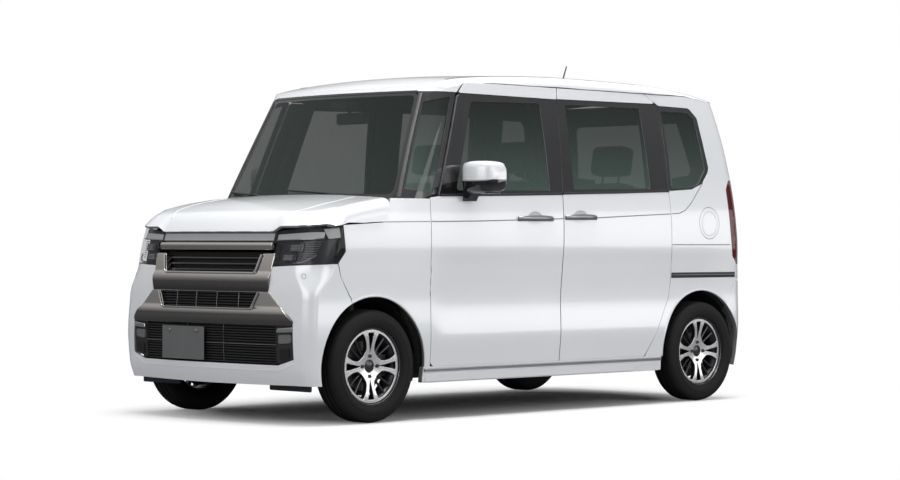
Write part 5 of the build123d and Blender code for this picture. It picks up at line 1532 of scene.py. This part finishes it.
def rim_shape(spoke):
    s = Shape()
    outer = 0.054
    barrel = [(-outer, RIM_R - 0.001), (-outer + 0.004, RIM_R - 0.008), (-outer + 0.012, RIM_R - 0.014),
              (0.0, RIM_R - 0.026), (outer - 0.018, RIM_R - 0.012), (outer - 0.004, LIP_R - 0.008),
              (outer + 0.002, LIP_R - 0.005), (outer + 0.003, LIP_R - 0.001), (outer, LIP_R)]
    s.lathe(barrel[:6], (0, 0, 0), 96, "dark_alloy")
    s.lathe(barrel[5:], (0, 0, 0), 96, "machined")
    wide = math.degrees(spoke / 0.166)
    holes = []
    for k in range(4):
        a = 90 * k
        gap = [polar(0.062, a - 2.4), polar(0.10, a - 5.2), polar(0.168, a - 7.6), polar(0.168, a + 7.6),
               polar(0.10, a + 5.2), polar(0.062, a + 2.4)]
        holes.append(rounded(gap, [0.002, 0.02, 0.005, 0.005, 0.02, 0.002], 3))
        flare = [(0.171, wide + 10.2), (0.150, wide + 7.8), (0.125, wide + 5.8), (0.100, wide + 6.2),
                 (0.080, wide + 10.0)]
        lo, hi = a + flare[0][1], a + 90 - flare[0][1]
        rim_edge = [polar(0.171, lo + (hi - lo) * t / 10) for t in range(11)]
        inner = [*(polar(r, a + 90 - b) for r, b in flare[1:]), polar(0.064, a + 45),
                 *(polar(r, a + b) for r, b in reversed(flare[1:]))]
        holes.append(rounded(rim_edge + inner, [0.008] + [0.0] * 9 + [0.008] + [0.02] * 9, 4))
    ring = [polar(0.1815, 360 * k / 90) for k in range(90)]
    centre = [polar(0.0335, 360 * k / 40) for k in range(40)]
    s.panel(FACE, ring, "machined", [*holes, centre], step=0.009, depth=0.026, edge=0.0022, wall="dark_alloy")
    s.lathe([(0.026, 0.0335), (0.030, 0.031), (0.0325, 0.026), (0.033, 0.0)], (0, 0, 0), 48, "dark_alloy")
    s.lathe([(0.010, 0.060), (0.010, 0.0)], (0, 0, 0), 48, "dark_alloy")
    for k in range(4):
        y, z = polar(0.050, 90 * k)
        s.lathe([(0.0385, 0.0125), (0.036, 0.0115), (0.030, 0.0115)], (0, y, z), 20, "dark_alloy")
        s.lathe([(0.028, 0.0095), (0.043, 0.0095), (0.046, 0.0075), (0.046, 0.0)], (0, y, z), 6, "steel")
        for side in (-9, 9):
            a = 90 * k + 45 + side
            rib = [(0.020, *polar(0.050, a)), (0.024, *polar(0.105, a)), (0.032, *polar(0.166, a))]
            s.tube(rib, [0.008, 0.006, 0.007], "dark_alloy", sides=8)
    return s


def brake_shape(front):
    s = Shape()
    radius = 0.122 if front else 0.100
    s.lathe([(-0.026, 0.05), (-0.026, radius), (-0.015, radius), (-0.015, 0.05)], (0, 0, 0), 72, "disc")
    # painted shadow: a near-black disc behind the brake disc
    s.lathe([(-0.038, 0.045), (-0.038, 0.147)], (0, 0, 0), 60, "painted_shadow")
    s.lathe([(-0.015, 0.064), (0.008, 0.062), (0.011, 0.05), (0.011, 0.0)], (0, 0, 0), 48, "steel")
    return s


# ---------------------------------------------------------------- cabin
def pad(s, centre, size, crown, lean=0.0, seams=0):
    """Crowned cushion: a soft block that swells in the middle, leaning back by an angle, with stitched valleys."""
    rows, cols, power = 18, 36, 0.28
    valley_depth, valley_width = 0.05, 0.035
    hx, hy, hz = (v / 2 for v in size)
    verts = []
    c, q = math.cos(lean), math.sin(lean)
    for i in range(rows + 1):
        lat = -math.pi / 2 + math.pi * i / rows
        for j in range(cols):
            lon = math.tau * j / cols
            a, b, d = math.cos(lat) * math.cos(lon), math.cos(lat) * math.sin(lon), math.sin(lat)
            x, y, z = (math.copysign(abs(v) ** power, v) for v in (a, b, d))
            swell = 1 + crown * (1 - x * x) * (1 - y * y) if abs(d) > 0.5 else 1.0
            valley = 0.0
            for k in range(seams):
                at = -0.62 + 1.24 * (k + 0.5) / seams if seams > 1 else 0.0
                valley += valley_depth * math.exp(-((x - at) / valley_width) ** 2)
            px, py, pz = x * hx, y * hy, z * hz * (swell - (valley if abs(d) > 0.3 else 0))
            verts.append((centre[0] + px, centre[1] + py * c + pz * q, centre[2] - py * q + pz * c))
    faces = [(i * cols + j, i * cols + (j + 1) % cols, (i + 1) * cols + (j + 1) % cols, (i + 1) * cols + j)
             for i in range(rows) for j in range(cols)]
    s.put(verts, faces, "cloth")


def seat_shape(x, width, y, height):
    """Seat with bolstered cushion and backrest, headrest and stitched seams; y is the hip point."""
    s = Shape()
    h = 0.640  # height of the cushion's top
    pad(s, (x, y - 0.100, h - 0.045), (width - 0.10, 0.43, 0.13), 0.22, seams=3)
    for sign in (-1, 1):
        pad(s, (x + sign * (width / 2 - 0.040), y - 0.085, h - 0.030), (0.080, 0.43, 0.15), 0.12)
    lean = math.radians(-80)
    pad(s, (x, y + 0.195, h + height / 2 + 0.02), (width - 0.11, height, 0.11), 0.25, lean=lean, seams=3)
    for sign in (-1, 1):
        bolster = (x + sign * (width / 2 - 0.040), y + 0.180, h + height / 2)
        pad(s, bolster, (0.080, height * 0.92, 0.14), 0.15, lean=lean)
    pad(s, (x, y + 0.282, h + height + 0.145), (0.25, 0.165, 0.090), 0.25, lean=lean)
    for sign in (-1, 1):
        post = [(x + sign * 0.06, y + 0.262, h + height - 0.02), (x + sign * 0.06, y + 0.276, h + height + 0.085)]
        s.tube(post, 0.006, "satin")
    s.box((x - width / 2 + 0.04, y - 0.28, 0.241), (x + width / 2 - 0.04, y + 0.12, h - 0.10), "cabin", 0.02)
    return s


def steering_shape():
    """Steering wheel with a rim in the cabin plastic, three satin spokes and a padded boss."""
    s = Shape()
    c, q = math.cos(math.radians(25)), math.sin(math.radians(25))
    o = Vector((-0.330, -0.480, 0.960))
    axis = Vector((0, c, q))
    up = Vector((0, -q, c))
    side = Vector((1, 0, 0))
    rim = 0.178
    ring = [o + side * rim * math.cos(a) + up * rim * math.sin(a) for a in (math.tau * k / 64 for k in range(64))]
    s.tube(ring, 0.0125, "cabin", sides=14, closed=True)
    s.lathe([(-0.030, 0.0), (-0.028, 0.052), (0.002, 0.058), (0.012, 0.048), (0.015, 0.0)], o, 40, "cabin", axis=axis)
    for a in (0, 180, 270):
        d = side * math.cos(math.radians(a)) + up * math.sin(math.radians(a))
        spoke = [o + d * 0.045 - axis * 0.006, o + d * 0.11 - axis * 0.004, o + d * 0.172]
        s.tube(spoke, [0.017, 0.013, 0.011], "satin")
    s.tube([o - axis * 0.028, o - axis * 0.083], 0.016, "cabin", sides=16)
    return s


# ---------------------------------------------------------------- CAD pieces that stay in view
def finish_cad(node, mat):
    """Joins a CAD piece's faces, rounds its edges a little and gives it a material."""
    obj = frame["nodes"][node]
    weld = obj.modifiers.new("join", "WELD")
    weld.merge_threshold = 0.00002
    edge = obj.modifiers.new("edges", "BEVEL")
    edge.width = 0.0015
    edge.segments = 2
    edge.limit_method = "ANGLE"
    edge.angle_limit = math.radians(40)
    edge.use_clamp_overlap = True
    obj.data.materials.clear()
    obj.data.materials.append(material(mat))
    for poly in obj.data.polygons:
        poly.material_index = 0


CAD_FINISH = {
    "body_frame": "primer", "floor_pan": "primer", "front_frame": "primer", "cowl_panel": "black",
    "hinge_pins": "body_paint",
    "knuckle_left": "steel", "knuckle_right": "steel", "front_suspension": "steel", "rear_axle": "steel",
    "wheel_arch_liners": "liner", "dashboard": "cabin", "steering_column": "cabin", "engine_block": "steel",
}


# ---------------------------------------------------------------- operators
class KeiPiece:
    bl_options = {"REGISTER", "UNDO"}

    def execute(self, context):
        if "body" not in frame["bodies"]:
            raise RuntimeError("the frame has no body to build on")
        self.build(context.scene.kei)
        return {"FINISHED"}


class MESH_OT_kei_doors(KeiPiece, bpy.types.Operator):
    """Build the front doors, the sliding doors and their handles"""
    bl_idname = "mesh.kei_doors"
    bl_label = "Doors"

    def build(self, s):
        left = door_shape()
        left.make("skin_door_left", "door_left", ["door_left", "door_left_glass"], "body_paint")
        left.other_side().make("skin_door_right", "door_right", ["door_right", "door_right_glass"], "body_paint")
        slide_shape().mirrored().make("skin_sliding_doors", "body", ["sliding_doors", "fixed_side_glass"], "body_paint")


class MESH_OT_kei_shell(KeiPiece, bpy.types.Operator):
    """Build the wings, quarters, skirts, roof, bonnet and tailgate"""
    bl_idname = "mesh.kei_shell"
    bl_label = "Body Shell"

    def build(self, s):
        fender_shape().mirrored().make("skin_front_wings", "body", ["front_fenders"], "body_paint")
        quarters = quarter_shape(lid=True).add(quarter_shape(lid=False).other_side())
        quarters.make("skin_quarters", "body", ["quarter_panels"], "body_paint")
        skirt = Shape()
        skirt.panel(BODY, side_loop(SKIRT), "body_paint", depth=0.03, edge=0.004)
        skirt.strip(BODY, side_u([(-0.872, 0.2495), (0.953, 0.2495)]), 0.012, 0.006, "satin", lift=0.002)
        # a thin grey line of painted shade below the trim strip
        skirt.strip(BODY, side_u([(-0.874, 0.2395), (0.953, 0.2395)]), 0.003, 0.001, "seam")
        ledge = side_loop([(-0.86, 0.192), (0.70, 0.192), (0.80, 0.226), (-0.86, 0.226)])
        skirt.panel(BODY, ledge, "body_paint", depth=0.004, edge=0.004, lift=0.004, wall="body_paint")
        skirt.mirrored().make("skin_skirts", "body", ["side_skirts"], "body_paint")
        roof_shape().make("skin_roof", "body", ["roof_panel"], "body_paint")
        bonnet_shape().make("skin_bonnet", "bonnet", ["bonnet"], "body_paint")
        tailgate_shape().make("skin_tailgate", "tailgate", ["tailgate", "tailgate_glass"], "body_paint")
        lid = Shape()
        lid.panel(BODY, side_u(circle(FUEL_CENTRE, FUEL_R - 0.0015)), "body_paint", depth=0.008)
        lid.strip(BODY, side_u(circle(FUEL_CENTRE, FUEL_R - 0.020)), 0.010, 0.0015, "body_paint", closed=True)
        lid.make("skin_fuel_lid", "fuel_lid", ["fuel_lid"], "body_paint")


class MESH_OT_kei_nose(KeiPiece, bpy.types.Operator):
    """Build the bumpers, grille, bright-work and plate"""
    bl_idname = "mesh.kei_nose"
    bl_label = "Bumpers and Grille"

    def build(self, s):
        bumper_front_shape().make("skin_front_bumper", "body", ["front_bumper"], "body_paint")
        bumper_rear_shape().make("skin_rear_bumper", "body", ["rear_bumper"], "body_paint")
        garnish_shape().make("garnish", "body", ["front_garnish"], "gunmetal")
        grille_shape().make("grille", "body", ["front_grille"], "black_trim")
        plate_shape().make("plate", "body", ["plate_front"], "plate")


class MESH_OT_kei_lamps(KeiPiece, bpy.types.Operator):
    """Build the headlamps, the light band and the tail lamps"""
    bl_idname = "mesh.kei_lamps"
    bl_label = "Lamps"

    def build(self, s):
        headlamp_shape().mirrored().make("headlamp_units", "body", ["headlamps"], "lamp")
        light_bar_shape().make("light_band", "body", ["light_bar"], "lamp")
        tail_lamp_shape().mirrored().make("tail_lamp_units", "body", ["tail_lamps"], "red_lamp")


class MESH_OT_kei_glass(KeiPiece, bpy.types.Operator):
    """Build the windscreen, its pillars, the wipers, mirrors and aerial"""
    bl_idname = "mesh.kei_glass"
    bl_label = "Windscreen and Mirrors"

    def build(self, s):
        screen_shape().make("screen_glass", "body", ["windscreen"], "clear_glass")
        pillar_shape().make("screen_pillars", "body", ["windscreen_frame"], "black_trim")
        left = mirror_shape()
        left.make("door_mirror_left", "door_left", ["mirror_left"], "body_paint", sharp=50)
        left.other_side().make("door_mirror_right", "door_right", ["mirror_right"], "body_paint", sharp=50)
        aerial_shape().make("roof_aerial", "body", ["aerial"], "black_trim")


class MESH_OT_kei_wheels(KeiPiece, bpy.types.Operator):
    """Build the four tyres, alloy wheels and brakes"""
    bl_idname = "mesh.kei_wheels"
    bl_label = "Wheels"

    def build(self, s):
        tyre, rim = tyre_shape(s.wheels.grooves), rim_shape(s.wheels.spoke_width)
        for end, y in AXLES.items():
            for side, sign, turn in (("left", 1, 0.0), ("right", -1, math.pi)):
                tag = f"{end}_{side}"
                where, body = (sign * WHEEL_X, y, TYRE_R), f"wheel_{tag}"
                place(tyre.make(f"tread_{tag}", body, [f"tyre_{tag}"], "tyre"), where, turn)
                place(rim.make(f"alloy_{tag}", body, [f"rim_{tag}"], "alloy"), where, turn)
                place(brake_shape(end == "front").make(f"brake_{tag}", body, (), "steel"), where, turn)


class MESH_OT_kei_cabin(KeiPiece, bpy.types.Operator):
    """Build the upholstered seats and the steering wheel"""
    bl_idname = "mesh.kei_cabin"
    bl_label = "Cabin"

    def build(self, s):
        for name, x, width, y in (("front_seats", 0.33, 0.48, -0.060), ("rear_seats", 0.30, 0.54, 0.745)):
            both = Shape()
            for sign in (-1, 1):
                both.add(seat_shape(sign * x, width, y, 0.56))
            obj = both.make(f"upholstery_{name}", "body", [name], "fabric", sharp=60)
        steering_shape().make("steering_rim", "steering_wheel", ["steering_wheel"], "interior")


class MESH_OT_kei_under(KeiPiece, bpy.types.Operator):
    """Finish the frame, floor, suspension and engine"""
    bl_idname = "mesh.kei_under"
    bl_label = "Underbody"

    def build(self, s):
        for node, mat in CAD_FINISH.items():
            finish_cad(node, mat)


class MESH_OT_kei_stage(bpy.types.Operator):
    """Set up the floor, lights, background and camera"""
    bl_idname = "mesh.kei_stage"
    bl_label = "Studio"
    bl_options = {"REGISTER", "UNDO"}

    def execute(self, context):
        s = context.scene.kei.studio
        scene = context.scene
        mesh = bpy.data.meshes.new("studio_floor")
        far = 60
        mesh.from_pydata([(-far, -far, 0), (far, -far, 0), (far, far, 0), (-far, far, 0)], [], [(0, 1, 2, 3)])
        floor = bpy.data.objects.new("studio_floor", mesh)
        scene.collection.objects.link(floor)
        mesh.materials.append(floor_material(tuple(s.floor)))
        world = bpy.data.worlds.new("studio")
        scene.world = world
        world.use_nodes = True
        tree = world.node_tree
        back = tree.nodes["Background"]
        seen = make_node(tree, "ShaderNodeLightPath", {}, "Is Camera Ray")
        height = apart(tree, make_node(tree, "ShaderNodeTexCoord", {}, "Generated"))[2]
        shade = (height * 1.5 + 0.10).clamp().mix((0.19, 0.195, 0.205), (0.98, 0.99, 1.00))
        unseen_strength = 0.65
        feed(tree, back.inputs["Color"], seen.mix(shade, (1.0, 1.0, 1.0)))
        feed(tree, back.inputs["Strength"], seen * 0.35 + unseen_strength)

        def lamp(name, size, power, at, to):
            data = bpy.data.lights.new(name, "AREA")
            data.shape, data.size, data.size_y, data.energy = "RECTANGLE", size[0], size[1], power
            obj = bpy.data.objects.new(name, data)
            obj.location = at
            obj.rotation_euler = (Vector(to) - Vector(at)).to_track_quat("-Z", "Y").to_euler()
            scene.collection.objects.link(obj)
        lamp("light_over", (6.0, 3.0), s.key_power, (0.5, 0, 5.5), (0, 0, 0))
        lamp("light_side", (7.0, 2.2), s.fill_power, (7.0, 1.0, 2.6), (0, 0, 0.8))
        lamp("light_rear_side", (7.0, 1.5), s.fill_power * 0.8, (7.5, 6.5, 1.35), (0, 0, 0.9))
        lamp("light_nose", (6.5, 2.4), s.fill_power * 1.1, (1.5, -8.0, 2.8), (0, -1, 0.7))
        data = bpy.data.cameras.new("camera")
        data.lens, data.sensor_width = 98.7, 36.0
        data.clip_end = 200
        camera = bpy.data.objects.new("camera", data)
        camera.location = (9.542, -9.479, 0.890)
        camera.rotation_euler = (math.radians(90.04), math.radians(-0.11), math.radians(45.09))
        scene.collection.objects.link(camera)
        scene.camera = camera
        scene.view_settings.view_transform = "Standard"
        return {"FINISHED"}


STEPS = [MESH_OT_kei_doors, MESH_OT_kei_shell, MESH_OT_kei_nose, MESH_OT_kei_lamps, MESH_OT_kei_glass,
         MESH_OT_kei_wheels, MESH_OT_kei_cabin, MESH_OT_kei_under, MESH_OT_kei_stage]


class VIEW3D_PT_kei(bpy.types.Panel):
    """Settings and steps of the kei car"""
    bl_label = "Kei Car"
    bl_idname = "VIEW3D_PT_kei"
    bl_space_type = "VIEW_3D"
    bl_region_type = "UI"
    bl_category = "Kei Car"

    def draw(self, context):
        kei = context.scene.kei
        for group in (kei.body, kei.wheels, kei.cabin, kei.studio):
            box = self.layout.box()
            for name in group.__annotations__:
                box.prop(group, name)
        for step in STEPS:
            self.layout.operator(step.bl_idname)


CLASSES = [KeiBodySettings, KeiWheelSettings, KeiCabinSettings, KeiStudioSettings, KeiSettings, *STEPS, VIEW3D_PT_kei]


def register():
    for cls in CLASSES:
        bpy.utils.register_class(cls)
    bpy.types.Scene.kei = PointerProperty(type=KeiSettings)


def unregister():
    del bpy.types.Scene.kei
    for cls in reversed(CLASSES):
        bpy.utils.unregister_class(cls)


def main():
    register()
    for step in STEPS:
        group, name = step.bl_idname.split(".")
        getattr(getattr(bpy.ops, group), name)()


if __name__ == "__main__":
    main()
